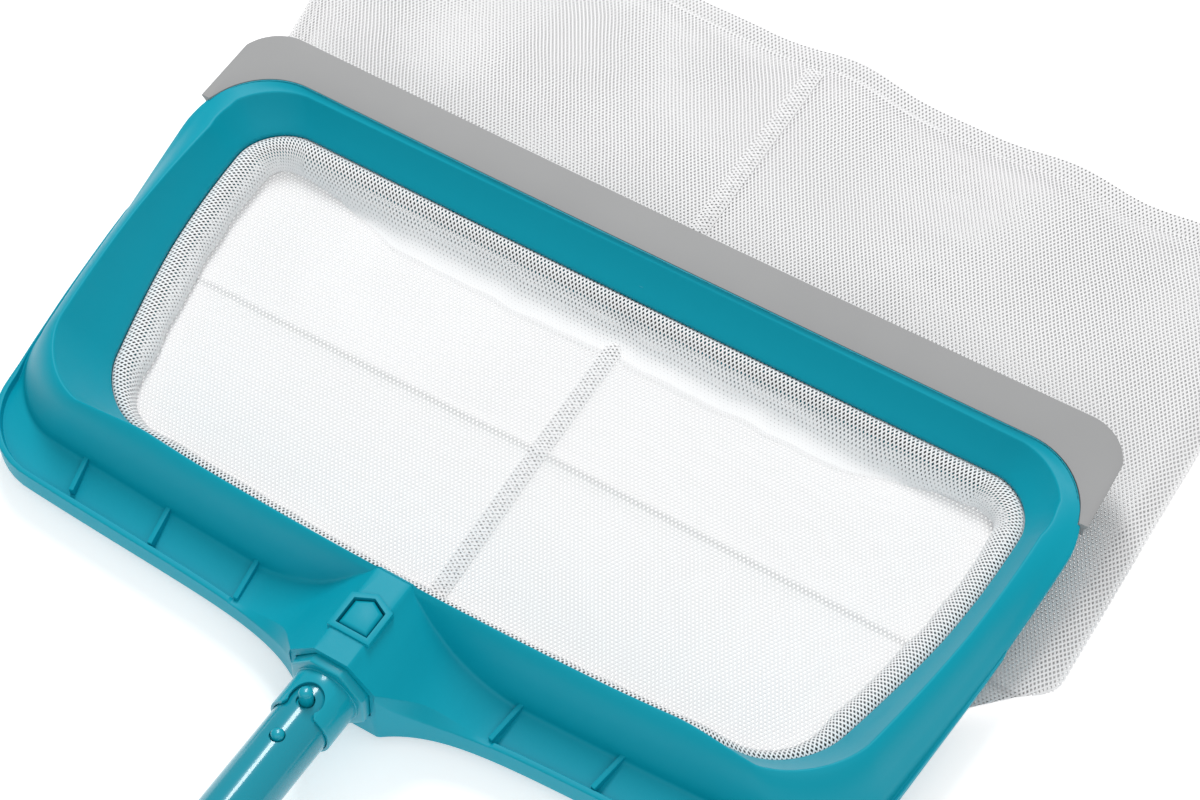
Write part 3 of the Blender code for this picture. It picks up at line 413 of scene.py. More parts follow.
TEAL = teal_plastic("moulded_teal", (0.0002, 0.345, 0.460), (0.0002, 0.320, 0.430), 0.44, 0.5, 0.17, 0.0)

sections = []
for k in range(COUNT):
    m, out, line = frame_section(k)
    sections.append([Vector((m.x + out.x * p.x, m.y + out.y * p.x, p.y)) for p in line])
front_frame = skin("front_frame_moulding", sections)

# ---- socket, window and ribs, still the same moulding
AXIS_Y, AXIS_Z, AXIS_TILT = -202.6 * MM, 23.0 * MM, 0.12
SOCKET_AF = 42.4 * MM
SOCKET_FACE = -20.4 * MM


def axis_frame(s):
    """Where +Z runs along the handle away from the frame and +Y points up out of it."""
    z = Vector((0, -math.cos(AXIS_TILT), math.sin(AXIS_TILT)))
    y = Vector((0, math.sin(AXIS_TILT), math.cos(AXIS_TILT)))
    at = Vector((0, AXIS_Y, AXIS_Z)) + z * s
    return Matrix.Translation(at) @ Matrix((y.cross(z), y, z)).transposed().to_4x4()


def button_frame(s):
    """Where +Z points up out of the handle and +Y runs toward the frame."""
    z = Vector((0, math.sin(AXIS_TILT), math.cos(AXIS_TILT)))
    x = Vector((1, 0, 0))
    at = Vector((0, AXIS_Y, AXIS_Z)) + Vector((0, -math.cos(AXIS_TILT), math.sin(AXIS_TILT))) * s
    return Matrix.Translation(at) @ Matrix((x, z.cross(x), z)).transposed().to_4x4()


def octagon(across):
    reach = across / 2 / math.cos(math.pi / 8)
    return [(reach * math.cos(math.pi / 8 + i * math.pi / 4), reach * math.sin(math.pi / 8 + i * math.pi / 4))
            for i in range(8)]


def prism(name, outline, low, high, bevel=0.0, place=None, segments=2, limit=30):
    """A flat outline extruded from low to high, its edges eased, set in a frame of its own."""
    bm = bmesh.new()
    face = bm.faces.new([bm.verts.new((x, y, low)) for x, y in outline])
    for item in bmesh.ops.extrude_face_region(bm, geom=[face])["geom"]:
        if isinstance(item, bmesh.types.BMVert):
            item.co.z = high
    made = to_object(name, bm)
    if bevel:
        ease = made.modifiers.new("ease", "BEVEL")
        ease.width = bevel
        ease.segments = segments
        ease.limit_method = "ANGLE"
        ease.angle_limit = math.radians(limit)
        baked(made)
    if place is not None:
        made.data.transform(place)
    return made


WINDOW = (9.0, 8.6, 7.2, 11.6)  # half width, toward the handle, shoulder and apex, in mm
STRAP_TILT = 0.075
WINDOW_Y = -154.0 * MM


def window_outline(grow):
    half, low, shoulder, apex = (v * MM for v in WINDOW)
    return [(-half - grow, -low - grow), (half + grow, -low - grow), (half + grow, shoulder + grow * 0.7),
            (0.0, apex + grow), (-half - grow, shoulder + grow * 0.7)]


def strap_frame():
    face_y = AXIS_Y - SOCKET_FACE * math.cos(AXIS_TILT)
    z = 45.3 * MM + STRAP_TILT * (face_y - WINDOW_Y)
    return Matrix.Translation((0, WINDOW_Y, z)) @ Matrix.Rotation(-STRAP_TILT, 4, "X")


barrel = prism("barrel", octagon(SOCKET_AF + 3.9 * MM), SOCKET_FACE - 50 * MM, SOCKET_FACE, 0.7 * MM,
               axis_frame(0))
window_rim = prism("window_rim", window_outline(3.0 * MM), -3 * MM, 1.2 * MM, 0.45 * MM, strap_frame(), 2)
RIBS = ((78.0, -140.2, 74.8, -162.6), (134.2, -136.9, 130.0, -159.1), (188.3, -133.9, 183.0, -153.4))


def copies_tree(name):
    """Set a shape at every point of a mesh, turned by the point's own spin, and make the copies real."""
    tree = bpy.data.node_groups.new(name, "GeometryNodeTree")
    tree.interface.new_socket("Points", in_out="INPUT", socket_type="NodeSocketGeometry")
    tree.interface.new_socket("Shape", in_out="INPUT", socket_type="NodeSocketObject")
    tree.interface.new_socket("Finish", in_out="INPUT", socket_type="NodeSocketMaterial")
    tree.interface.new_socket("Copies", in_out="OUTPUT", socket_type="NodeSocketGeometry")
    enter, leave = tree.nodes.new("NodeGroupInput"), tree.nodes.new("NodeGroupOutput")
    shape = tree.nodes.new("GeometryNodeObjectInfo")
    spin = tree.nodes.new("GeometryNodeInputNamedAttribute")
    spin.data_type = "FLOAT_VECTOR"
    spin.inputs["Name"].default_value = "spin"
    put = tree.nodes.new("GeometryNodeInstanceOnPoints")
    real = tree.nodes.new("GeometryNodeRealizeInstances")
    finish = tree.nodes.new("GeometryNodeSetMaterial")
    link = tree.links.new
    link(enter.outputs["Points"], put.inputs["Points"])
    link(enter.outputs["Shape"], shape.inputs["Object"])
    link(shape.outputs["Geometry"], put.inputs["Instance"])
    link(spin.outputs["Attribute"], put.inputs["Rotation"])
    link(put.outputs["Instances"], real.inputs["Geometry"])
    link(real.outputs["Geometry"], finish.inputs["Geometry"])
    link(enter.outputs["Finish"], finish.inputs["Material"])
    link(finish.outputs["Geometry"], leave.inputs["Copies"])
    return tree


COPIES = copies_tree("copies_on_points")


def set_out(name, shape, places, finish):
    """Copies of a small shape at (point, turn about X, Y, Z) places, as one plain mesh."""
    mesh = bpy.data.meshes.new(name)
    mesh.from_pydata([tuple(at) for at, _ in places], [], [])
    spin = mesh.attributes.new("spin", "FLOAT_VECTOR", "POINT")
    spin.data.foreach_set("vector", [v for _, turn in places for v in turn])
    made = bpy.data.objects.new(name, mesh)
    bpy.context.scene.collection.objects.link(made)
    nodes = made.modifiers.new("copies", "NODES")
    nodes.node_group = COPIES
    given = {"Shape": shape, "Finish": finish}
    for item in COPIES.interface.items_tree:
        if item.name in given:
            nodes[item.identifier] = given[item.name]
    baked(made)
    bpy.data.objects.remove(shape, do_unlink=True)
    return made


def oblong(half_x, half_y):
    return [(-half_x, -half_y), (half_x, -half_y), (half_x, half_y), (-half_x, half_y)]


rib = prism("rib", oblong(1.35 * MM, 12.6 * MM), -1.5 * MM, 6.6 * MM, 0.45 * MM)
rib_places = []
for x0, y0, x1, y1 in RIBS:
    for side in (-1, 1):
        a, b = Vector((x0 * side, y0 + 2.6)) * MM, Vector((x1 * side, y1 + 0.4)) * MM
        lean = math.atan2(b.y - a.y, b.x - a.x) + math.pi / 2
        rib_places.append(((*((a + b) / 2), 0.0), (0.0, 0.0, lean)))
ribs = set_out("flange_ribs", rib, rib_places, TEAL)
carve(front_frame, [barrel, window_rim, ribs], "UNION")


def crossing(loop, side, end_y):
    """Where a loop's blade side, on the right (side = 1) or left, crosses y = end_y."""
    for k in range(RIGHT_SIDE, COUNT):
        a, b = loop[k], loop[(k + 1) % COUNT]
        if a.x * side > 0 and (a.y - end_y) * (b.y - end_y) <= 0 and a.y != b.y:
            return a.lerp(b, (end_y - a.y) / (b.y - a.y))
    return loop[RIGHT_SIDE]


def blade_pairs(end_y):
    """Groove and blade-edge points from the right end, round the far side, to the left end."""
    rows = [k for k in range(RIGHT_SIDE, COUNT) if min(GROOVE[k].y, TIP[k].y) > BLADE_END + 1.5 * MM]
    pairs = [(crossing(GROOVE, 1, end_y), crossing(TIP, 1, end_y))]
    pairs += [(GROOVE[k], TIP[k]) for k in rows]
    return pairs + [(crossing(GROOVE, -1, end_y), crossing(TIP, -1, end_y))]


bosses = []
SCREWS = []
for i in range(11):
    low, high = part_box("ring_screw_%d" % (i + 1))
    SCREWS.append((low + high) / 2 - MOUTH_AT)
for spot in SCREWS:
    ring = [(3.6 * MM * math.cos(a), 3.6 * MM * math.sin(a)) for a in (math.tau * j / 24 for j in range(24))]
    top = 5.0 * MM if spot.y > 80 * MM else 9.0 * MM
    bosses.append(prism("boss", ring, -8.4 * MM, top, 0, Matrix.Translation((spot.x, spot.y, 0))))
carve(front_frame, bosses, "UNION")
seat = []
for g, t in blade_pairs(BLADE_END):
    far = t + (t - g).normalized() * 20 * MM
    seat.append([(g.x, g.y, 8 * MM), (far.x, far.y, 8 * MM), (far.x, far.y, 40 * MM), (g.x, g.y, 40 * MM)])
bore = prism("bore", octagon(SOCKET_AF), SOCKET_FACE - 48 * MM, SOCKET_FACE + 30 * MM, 0, axis_frame(0))
opening = prism("window_hole", window_outline(0), -12 * MM, 10 * MM, 0, strap_frame())
square = [(-24.5 * MM, -24.5 * MM), (24.5 * MM, -24.5 * MM), (24.5 * MM, 40 * MM), (-24.5 * MM, 40 * MM)]
trim = prism("face_trim", square, SOCKET_FACE, SOCKET_FACE + 30 * MM, 0, axis_frame(0))
carve(front_frame, [skin("seat", seat, False), bore, opening, trim])
set_down(front_frame, TEAL, "moulding", "skimmer", "front_frame", degrees=28)

# ---------------------------------------------------------------- scraper blade
# A softer grey moulding snapped into the groove along the far side; it wraps both far corners, ends in a
# square step at each side and thins to its edge, so it can be drawn along a pool wall.
blade_rings = []
for g, t in blade_pairs(BLADE_END + 0.3 * MM):
    out = (t - g).normalized()
    w = (t - g).length
    k = min(1.0, w / (25 * MM))
    top, tip_top = 18.5 * MM, 18.5 * MM + 0.8 * MM * k
    root = min(7 * MM, 0.5 * w + 1 * MM)
    line = soften([(0.45 * MM, top - 0.1 * MM, 0.5 * MM, 2), (w * 0.5, top + 0.55 * MM * k, 0, 0),
                   (w, tip_top, 0.5 * MM, 3), (w, tip_top - 1.5 * MM, 0.5 * MM, 2),
                   (root, top - 3.6 * MM, 0, 0), (root - 0.6 * MM, 8.6 * MM, 0, 0),
                   (0.45 * MM, 8.6 * MM, 0, 0)])
    blade_rings.append([Vector((g.x + out.x * p.x, g.y + out.y * p.x, p.y)) for p in line])
blade = skin("scraper_blade_moulding", blade_rings, False)
f = Finish("soft_grey")
speck = f.noise(1500.0, 3.0, 0.6)
cloud = f.noise(14.0, 4.0)
f.set(Base_Color=f.blend(cloud, (0.365, 0.368, 0.370, 1), (0.325, 0.328, 0.332, 1)), IOR=1.45)
f.set(Roughness=speck * 0.14 + cloud * 0.06 + 0.6).bump(speck + f.noise(260.0) * 0.6, 0.2, 0.08 * MM)
GREY = f.material
set_down(blade, GREY, "blade", "skimmer", "scraper_blade")

# ---------------------------------------------------------------- connector
# Glossy teal moulding: an octagonal plug that clicks into the socket, a sleeve over the handle tube with a
# keyhole notch for the front button, and a spigot inside the tube.
GLOSS = teal_plastic("gloss_teal", (0.0003, 0.355, 0.465), (0.0002, 0.330, 0.440), 0.3, 0.04, 0.2, 0.45)
PLUG_FACE = -15.3 * MM


def spun(name, profile, place, steps=96):
    """Turn an (r, z) outline about Z with a Screw modifier; one that ends where it starts is a ring."""
    edges = [(i, i + 1) for i in range(len(profile) - 1)]
    if profile[0] == profile[-1]:
        profile = profile[:-1]
        edges[-1] = (len(profile) - 1, 0)
    mesh = bpy.data.meshes.new(name)
    mesh.from_pydata([(r, 0.0, z) for r, z in profile], edges, [])
    made = bpy.data.objects.new(name, mesh)
    bpy.context.scene.collection.objects.link(made)
    turn = made.modifiers.new("turn", "SCREW")
    turn.steps = steps
    turn.render_steps = steps
    turn.use_merge_vertices = True
    turn.merge_threshold = 0.01 * MM
    made.matrix_world = place
    baked(made)
    bm = bmesh.new()
    bm.from_mesh(made.data)
    bmesh.ops.remove_doubles(bm, verts=bm.verts[:], dist=0.005 * MM)
    bmesh.ops.recalc_face_normals(bm, faces=bm.faces[:])
    bm.to_mesh(made.data)
    bm.free()
    return made


def eased(corners, closed=True):
    """An (r, z) outline with small rounds, closed back to its first point."""
    line = [tuple(p) for p in soften([(r * MM, z * MM, e * MM, 3 if e else 0) for r, z, e in corners])]
    return line + [line[0]] if closed else line


plug = prism("connector_moulding", octagon(41.2 * MM), PLUG_FACE - 52 * MM, PLUG_FACE, 1.0 * MM,
             axis_frame(0), 3, 20)
collar = spun("collar", eased([(17.6, -14.4, 0.5), (17.6, -17, 0), (14, -17, 0), (14, -14.4, 0)]),
              axis_frame(0))
sleeve = spun("sleeve", eased([(17.0, 7.0, 0.7), (17.0, -17.0, 0), (15.3, -17.0, 0), (15.3, 7.0, 0.4)]),
              axis_frame(0))


def notch_outline():
    """Round the front button, then a waist, then flaring to the sleeve's end."""
    r = 8.7 * MM
    arc = [(r * math.sin(a), -r * math.cos(a)) for a in (math.radians(-118 + 8 * i) for i in range(0, 30))]
    arc = [(x, y) for x, y in arc if y < 3.6 * MM]
    waist = 7.6 * MM
    flare = [(waist + (14.0 * MM - waist) * t ** 1.6, 4.2 * MM + 6.5 * MM * t)
             for t in (0.0, 0.2, 0.4, 0.6, 0.8, 1.0)]
    return arc + flare + [(-x, y) for x, y in flare[::-1]]


notch = prism("notch", [(x, -y) for x, y in notch_outline()][::-1], 4 * MM, 30 * MM, 0, button_frame(0))
carve(sleeve, [notch])
ease = sleeve.modifiers.new("ease", "BEVEL")
ease.width = 0.35 * MM
ease.segments = 2
ease.limit_method = "ANGLE"
ease.angle_limit = math.radians(50)
baked(sleeve)
spigot = spun("spigot", eased([(13.4, 38, 0.4), (13.4, -17.5, 0), (11.7, -17.5, 0), (11.7, 38, 0.4)]),
              axis_frame(0))
for s, r in ((0.0, 3.9 * MM), (22.9 * MM, 3.7 * MM)):
    carve(spigot, [spun("hole", [(0, 20 * MM), (r, 20 * MM), (r, 6 * MM), (0, 6 * MM)], button_frame(s), 32)])
pocket = prism("latch_pocket", window_outline(2.5 * MM), -14.5 * MM, 20 * MM, 0, strap_frame())
core = prism("core", octagon(33.2 * MM), PLUG_FACE - 57 * MM, PLUG_FACE - 44 * MM, 0, axis_frame(0))
carve(plug, [pocket, core])
carve(plug, [collar, sleeve, spigot], "UNION")
set_down(plug, GLOSS, "gloss", "skimmer", "connector", degrees=30)

# ---------------------------------------------------------------- handle tube
# Extruded aluminium tube with a baked teal coat, cut off square, with a hole for each snap button; its far
# end is closed by a plain moulded plug.
TUBE_START, TUBE_END = -13.8, 285.9
tube = spun("handle_tube_coated", eased([(15.0, TUBE_END, 0.3), (15.0, TUBE_START, 0), (13.8, TUBE_START, 0),
                                        (13.8, TUBE_END, 0)]), axis_frame(0), 128)
for s, r in ((0.7 * MM, 4.7 * MM), (23.3 * MM, 3.9 * MM)):
    carve(tube, [spun("hole", [(0, 30 * MM), (r, 30 * MM), (r, 5 * MM), (0, 5 * MM)], button_frame(s), 40)])
f = Finish("coated_tube")
drawn = f.node("Mapping", Vector=f.place(), Scale=(1.0, 0.02, 1.0))
streak = f.noise(900.0, 3.0, 0.6, drawn)
orange = f.noise(1200.0, 2.0)
tone = f.noise(20.0, 3.0)
f.set(Base_Color=f.blend(tone * 0.5 + streak * 0.3, (0.006, 0.300, 0.400, 1), (0.005, 0.280, 0.375, 1)))
f.set(Roughness=streak * 0.05 + tone * 0.04 + 0.17, IOR=1.52)
f.shader.inputs["Specular IOR Level"].default_value = 0.3
f.shader.inputs["Coat Weight"].default_value = 0.5
f.shader.inputs["Coat Roughness"].default_value = 0.06
f.bump(orange * 0.7 + streak, 0.05, 0.03 * MM)
COATED = f.material
set_down(tube, COATED, "gloss", "skimmer", "handle_tube")
end_plug = spun("tube_plug_moulding",
                eased([(0, TUBE_END + 2.6, 0), (14.2, TUBE_END + 2.6, 0.6), (15.0, TUBE_END + 1.6, 0.4),
                       (15.0, TUBE_END + 0.35, 0), (13.4, TUBE_END + 0.35, 0), (13.4, TUBE_END - 14, 0.5),
                       (0, TUBE_END - 14, 0)], False), axis_frame(0))
set_down(end_plug, TEAL, "moulding", "skimmer", "tube_plug")

# ---------------------------------------------------------------- snap buttons
# Moulded teal buttons with domed tops on folded spring-steel clips inside the tube; each pops out through
# the spigot and the tube, and is pressed in to take the connector or a longer pole off.
for i, (s, r, top) in enumerate(((0.0, 3.5, 22.4), (22.9 * MM, 3.3, 17.3))):
    profile = eased([(0, top, 0), (r * 0.45, top - 0.12, 0), (r * 0.78, top - 0.5, 0), (r, top - 1.5, 0.5),
                     (r, 10.1, 0), (5.0, 10.1, 0.2), (5.0, 8.6, 0.2), (0, 8.6, 0)], False)
    button = spun("snap_button_%d_moulding" % (i + 1), profile, button_frame(s), 48)
    set_down(button, GLOSS, "gloss", "snap_%d" % (i + 1), "snap_button_%d" % (i + 1))

# ---------------------------------------------------------------- latch button
# The connector's spring latch: a five-sided teal button that stands in the strap's window; pressing it lets
# the plug slide out of the socket.
rows = []
for z, grow in ((-8.0, -1.3), (-7.8, -1.1), (-0.3, -1.1), (0.0, -1.25), (0.9, -2.5), (1.05, -2.9)):
    rows.append([Vector((x, y, z * MM)) for x, y in window_outline(grow * MM)])
latch = skin("latch_button_moulding", rows, False)
latch.data.transform(strap_frame())
set_down(latch, TEAL, "moulding", "latch", "latch_button")

# ---------------------------------------------------------------- net hem
# The bag's knitted mouth, folded over a plastic ring and clamped under the frame's lip: an open tube of
# white warp-knit mesh, whose holes show the dark ring inside.
KNIT = 2.35 * MM


def knit_cloth(name, hole, thread, shade_colour, closing=(1.0, 2.0), crease=0.0):
    """White warp-knit mesh: offset rows of small eyelets between raised, looped yarns, on the cloth's UVs.

    The eyelets draw shut between the two closing distances. The yarn round each eyelet is painted darker as
    painted shade, and crease sets the strength of a painted shade line along the fold across the bag.
    """
    f = Finish(name)
    uv = f.node("UVMap", {"uv_map": "lay"})
    drift = f.node("TexNoise", out=1, Vector=uv, Scale=30.0)
    wander = f.node("VectorMath", {"operation": "SCALE"}, Vector=drift, Scale=1.6 * MM)
    spot = f.node("VectorMath", {"operation": "ADD"}, i0=uv, i1=wander)
    x = f.node("SeparateXYZ", out=0, Vector=spot)
    y = f.node("SeparateXYZ", out=1, Vector=spot)
    a = (x + y * 0.62) / KNIT
    b = (x - y * 0.62) / KNIT
    da = (a.math("FRACT") - 0.5).math("ABSOLUTE")
    db = (b.math("FRACT") - 0.5).math("ABSOLUTE")
    reach = da.math("MAXIMUM", db) + f.ramp(y, closing[0], closing[1], 0.0, 0.26)
    alpha = f.ramp(reach, hole - 0.025, hole + 0.025)
    yarn = f.noise(5200.0, 2.0, 0.6)
    slow = f.noise(24.0, 3.0)
    rim = f.ramp(reach, hole, hole + 0.1)
    tone = f.blend(yarn * 0.35 + slow * 0.5, (*thread, 1), (*shade_colour, 1))
    if crease:
        # Painted shade: a grey line blended in along the floor's fold, 5 mm toward the handle from the mouth's
        # middle, with crease as its strength.
        along = f.node("SeparateXYZ", out=1, Vector=f.node("TexCoord", out="Object"))
        off = (along - (MOUTH_AT.y - 5.0 * MM) + slow * 2.0 * MM).math("ABSOLUTE")
        fold = f.ramp(off, 0.5 * MM, 3.0 * MM, crease, 0.0)
        tone = f.blend(fold, tone, (0.42, 0.42, 0.43, 1))
    # Painted shade: where eyelet_rim is near 0, at each eyelet's edge, the yarn is painted darker, down to
    # 0.72 of the thread colour.
    f.set(Base_Color=f.blend(rim, tuple(0.72 * c for c in thread) + (1,), tone), Alpha=alpha)
    f.set(Roughness=yarn * 0.15 + 0.72, IOR=1.4)
    f.shader.inputs["Sheen Weight"].default_value = 0.15
    f.bump(reach + yarn * 0.25, 0.5, 0.25 * MM)
    return f.material


HEM_KNIT = knit_cloth("knit_hem", 0.28, (0.97, 0.97, 0.975), (0.93, 0.93, 0.935), (12 * MM, 30 * MM))
# crease=0.4 paints a line of shade along the fold across the bag's floor.
BAG_KNIT = knit_cloth("knit_bag", 0.26, (0.91, 0.91, 0.915), (0.86, 0.86, 0.865), crease=0.4)
BAND_KNIT = knit_cloth("knit_band", 0.2, (0.9, 0.9, 0.905), (0.86, 0.86, 0.865))


def strip_mesh(name, rows, uvs, around):
    """A cloth surface through rows of points, with a UV for every corner, closed round if asked."""
    n = len(rows[0])
    faces, corners = [], []
    for i in range(len(rows) if around else len(rows) - 1):
        i2 = (i + 1) % len(rows)
        for j in range(n - 1):
            faces.append((i * n + j, i * n + j + 1, i2 * n + j + 1, i2 * n + j))
            corners += [uvs[i][j], uvs[i][j + 1], uvs[i + 1][j + 1], uvs[i + 1][j]]
    mesh = bpy.data.meshes.new(name)
    mesh.from_pydata([tuple(p) for row in rows for p in row], [], faces)
    layer = mesh.uv_layers.new(name="lay")
    layer.data.foreach_set("uv", np.array(corners, np.float32).ravel())
    made = bpy.data.objects.new(name, mesh)
    bpy.context.scene.collection.objects.link(made)
    return made


def face_up(ob):
    bm = bmesh.new()
    bm.from_mesh(ob.data)
    bmesh.ops.recalc_face_normals(bm, faces=bm.faces[:])
    bm.to_mesh(ob.data)
    bm.free()
    return ob


def thicken(ob, amount):
    """Give a cloth surface its thickness."""
    wall = ob.modifiers.new("cloth", "SOLIDIFY")
    wall.thickness = amount
    wall.offset = 0.0
    wall.use_rim = True
    return face_up(baked(ob))


def outward(k):
    return (EDGE[k] - MOUTH[k]).normalized()


GROUND = -20.0 * MM
SIDE_X = 289.0 * MM
END_Y = 287.0 * MM


def wave(x, y):
    """Soft folds of slack cloth, between -1 and 1."""
    return (0.42 * math.sin(x / 0.031 + y / 0.05) + 0.33 * math.sin(x / 0.019 - y / 0.037 + 1.3)
            + 0.25 * math.sin(x / 0.064 + y / 0.023 + 0.4))


def sag(x, y):
    """Long shallow hollows across the bag's floor, between -1 and 1."""
    return 0.6 * math.sin(x / 0.045 + y / 0.09 + 0.5) + 0.4 * math.sin(y / 0.028 - x / 0.11 + 2.0)


def edge_room(x, y):
    """0 at the bag's folded sides and end, rising to 1 inside it."""
    side = SIDE_X if x > 0 else SIDE_X - 23 * MM * (1 - smooth(120 * MM, 240 * MM, y))
    return smooth(0.0, 16 * MM, min(side - abs(x), END_Y - y))


def top_height(x, y):
    near = math.exp(-max(y - 125 * MM, 0.0) / (70 * MM))
    return GROUND + 0.9 * MM + edge_room(x, y) * (3.3 + 2.3 * near + 1.5 * wave(x, y) * (1 - 0.6 * near)) * MM


def floor_height(x, y):
    inside = 1 - smooth(0.85, 1.15, max(abs(x) / (225 * MM), abs(y) / (100 * MM)))
    crease = math.exp(-((y + 5 * MM) / (3.4 * MM)) ** 2) * inside
    rise = (0.25 + 0.75 * inside) * (1.5 + 1.4 * sag(x, y)) + 1.5 * crease
    return GROUND + 0.45 * MM + edge_room(x, y) * rise * MM


# On the blade's side the mesh runs down from the lip; at the sides it rolls over the ring and tucks under.
ROLL = ((-0.2, -3.3), (-1.6, -2.0), (-5.4, -1.3), (-10.0, -3.0), (-13.8, -6.6), (-15.9, -11.0),
        (-15.6, -15.0), (-13.4, -17.6), (-10.0, -18.6))
SLOPE = ((-0.2, -3.3), (-1.4, -2.0), (-4.4, -2.3), (-7.8, -4.6), (-11.2, -8.0), (-14.8, -11.4),
         (-19.0, -14.4), (-24.0, -16.8), (-30.0, -18.2))
TUCK = ((-0.2, -3.3), (-1.4, -2.4), (-4.0, -2.2), (-6.4, -3.6), (-8.0, -6.4), (-8.8, -10.4),
        (-8.6, -14.4), (-7.4, -17.4), (-6.0, -18.6))
HEM_STEPS = 28
stretch = [0.0]
for k in range(COUNT):
    stretch.append(stretch[-1] + (MOUTH[(k + 1) % COUNT] - MOUTH[k]).length)
around_mouth = stretch[-1]
rows, uvs = [], []
for k in range(COUNT + 1):
    m, out = MOUTH[k % COUNT], outward(k % COUNT)
    far = smooth(40 * MM, 86 * MM, m.y) * (1 - smooth(120 * MM, 226 * MM, abs(m.x)))
    near = smooth(-70 * MM, -100 * MM, m.y)
    turn = stretch[k] / around_mouth * math.tau
    pucker = (0.5 * math.sin(31 * turn) + 0.4 * math.sin(47 * turn + 1) + 0.6 * math.sin(13 * turn + 2)) * MM
    line = [Vector(a).lerp(Vector(b), far).lerp(Vector(c), near) * MM for a, b, c in zip(ROLL, SLOPE, TUCK)]
    row, uv, run = [], [], 0.0
    for j in range(HEM_STEPS + 1):
        t = j / HEM_STEPS * (len(line) - 1)
        i = min(int(t), len(line) - 2)
        p0, p1, p2, p3 = (line[min(max(i + d, 0), len(line) - 1)] for d in (-1, 0, 1, 2))
        t -= i
        p = 0.5 * ((2 * p1) + (p2 - p0) * t + (2 * p0 - 5 * p1 + 4 * p2 - p3) * t * t
                   + (3 * p1 - p0 - 3 * p2 + p3) * t ** 3)
        u = p.x + pucker * smooth(0.2, 0.9, j / HEM_STEPS)
        x, y = m.x + out.x * u, m.y + out.y * u
        lie = smooth(0.55, 1.0, j / HEM_STEPS)
        end = floor_height(x, y) + (0.5 - 0.8 * smooth(0.8, 1.0, j / HEM_STEPS)) * MM
        row.append((x, y, p.y + (end - p.y) * lie))
        if j:
            run += (p - last).length
        last = p
        uv.append((stretch[k] / around_mouth * round(around_mouth / KNIT) * KNIT, run))
    rows.append(row)
    uvs.append(uv)
hem = strip_mesh("net_hem_knit", rows[:-1], uvs, True)
thicken(hem, 0.35 * MM)
set_down(hem, HEM_KNIT, "mesh", "skimmer", "net_hem", degrees=80)

# ---------------------------------------------------------------- bag
# Two panels of the same knit, each folded over at its side and sewn to the other along the middle of both
# faces. Empty, the bag lies flat: its lower face on the ground, its upper face trailing past the blade.
BAG_EDGE = ((0.0, -118.0), (150.0, -119.0), (205.0, -112.0), (232.0, -62.0), (255.0, -26.0), (287.0, 6.0),
            (289.5, 13.0), (289.0, 120.0), (289.5, 230.0), (288.6, 284.0), (283.0, 287.0), (140.0, 287.0),
            (0.0, 287.0))
# The left side lies drawn in under the frame, and only meets its full width beyond the blade.
LEFT_EDGE = ((0.0, -118.0), (150.0, -119.0), (205.0, -112.0), (226.0, -62.0), (238.0, -26.0), (252.0, 6.0),
             (257.0, 13.0), (266.0, 120.0), (284.0, 230.0), (288.6, 284.0), (283.0, 287.0), (140.0, 287.0),
             (0.0, 287.0))


def end_wave(x, y):
    """How far the end hem wanders in and out, fading toward the frame."""
    drift = 2.4 * math.sin(x / 0.0205 + 0.6) + 1.8 * math.sin(x / 0.047 + 2.0) + 0.7 * math.sin(x / 0.011)
    return drift * MM * smooth(200 * MM, 287 * MM, y)


def edge_point(line, t):
    """A point on the bag's edge, from the near seam (t = 0) round the corners to the end seam (1)."""
    pts = [Vector(p) * MM for p in line]
    runs = [0.0]
    for a, b in zip(pts, pts[1:]):
        runs.append(runs[-1] + (b - a).length)
    s = t * runs[-1]
    for i in range(len(pts) - 1):
        if s <= runs[i + 1] + 1e-9:
            return pts[i].lerp(pts[i + 1], (s - runs[i]) / (runs[i + 1] - runs[i]))
    return pts[-1]


first = NEAR_FIRST + NEAR_COUNT // 2
last_row = RIGHT_SIDE + SIDE_STEPS - 1 + ARC_STEPS + 1 + FAR_STEPS // 2 - 1
HALF_ROWS = list(range(first, last_row + 1))
MARKS = ((0, 0.0), (NEAR_FIRST + NEAR_COUNT + ARC_STEPS - first, 0.30),
         (RIGHT_SIDE + SIDE_STEPS - first, 0.545), (RIGHT_SIDE + SIDE_STEPS + ARC_STEPS - first, 0.70),
         (last_row - first, 1.0))
TOP_STEPS, FLOOR_STEPS = 26, 64


def bag_half(name, side, node):
    """One folded panel as a grid: from the hem out over the upper face, round the fold and back below."""
    rows, uvs = [], []
    line = BAG_EDGE if side > 0 else LEFT_EDGE
    marks_at, marks_to = zip(*MARKS)
    for n, k in enumerate(HALF_ROWS):
        m, out = MOUTH[k], outward(k)
        edge = edge_point(line, float(np.interp(n, marks_at, marks_to)))
        share = n / (len(HALF_ROWS) - 1)
        seam = Vector((0.0, (-116 + 402.8 * share) * MM))
        hem_at = m + out * (-1.5 * MM)
        row, uv = [], []
        for j in range(TOP_STEPS + 1):
            f = (j / TOP_STEPS) ** 1.2
            p = hem_at.lerp(edge, f)
            x = max(p.x, 0.0) + 0.15 * MM
            z = top_height(side * x, p.y)
            z += (-3.6 * MM - z) * (1 - smooth(0.0, 0.12, f))
            row.append((side * x, p.y + end_wave(side * x, p.y), z))
            uv.append((side * x, p.y))
        for j in range(1, FLOOR_STEPS + 1):
            p = edge.lerp(seam, j / FLOOR_STEPS)
            x = max(p.x, 0.0) + 0.15 * MM
            row.append((side * x, p.y + end_wave(side * x, p.y), floor_height(side * x, p.y)))
            uv.append((side * x + 0.4 * KNIT, p.y))
        rows.append(row)
        uvs.append(uv)
    half = strip_mesh(name, rows, uvs, False)
    face_up(half)
    thicken(half, 0.3 * MM)
    set_down(half, BAG_KNIT, "mesh", "skimmer", node, degrees=80)


bag_half("bag_right_knit", 1, "bag_right")
bag_half("bag_left_knit", -1, "bag_left")

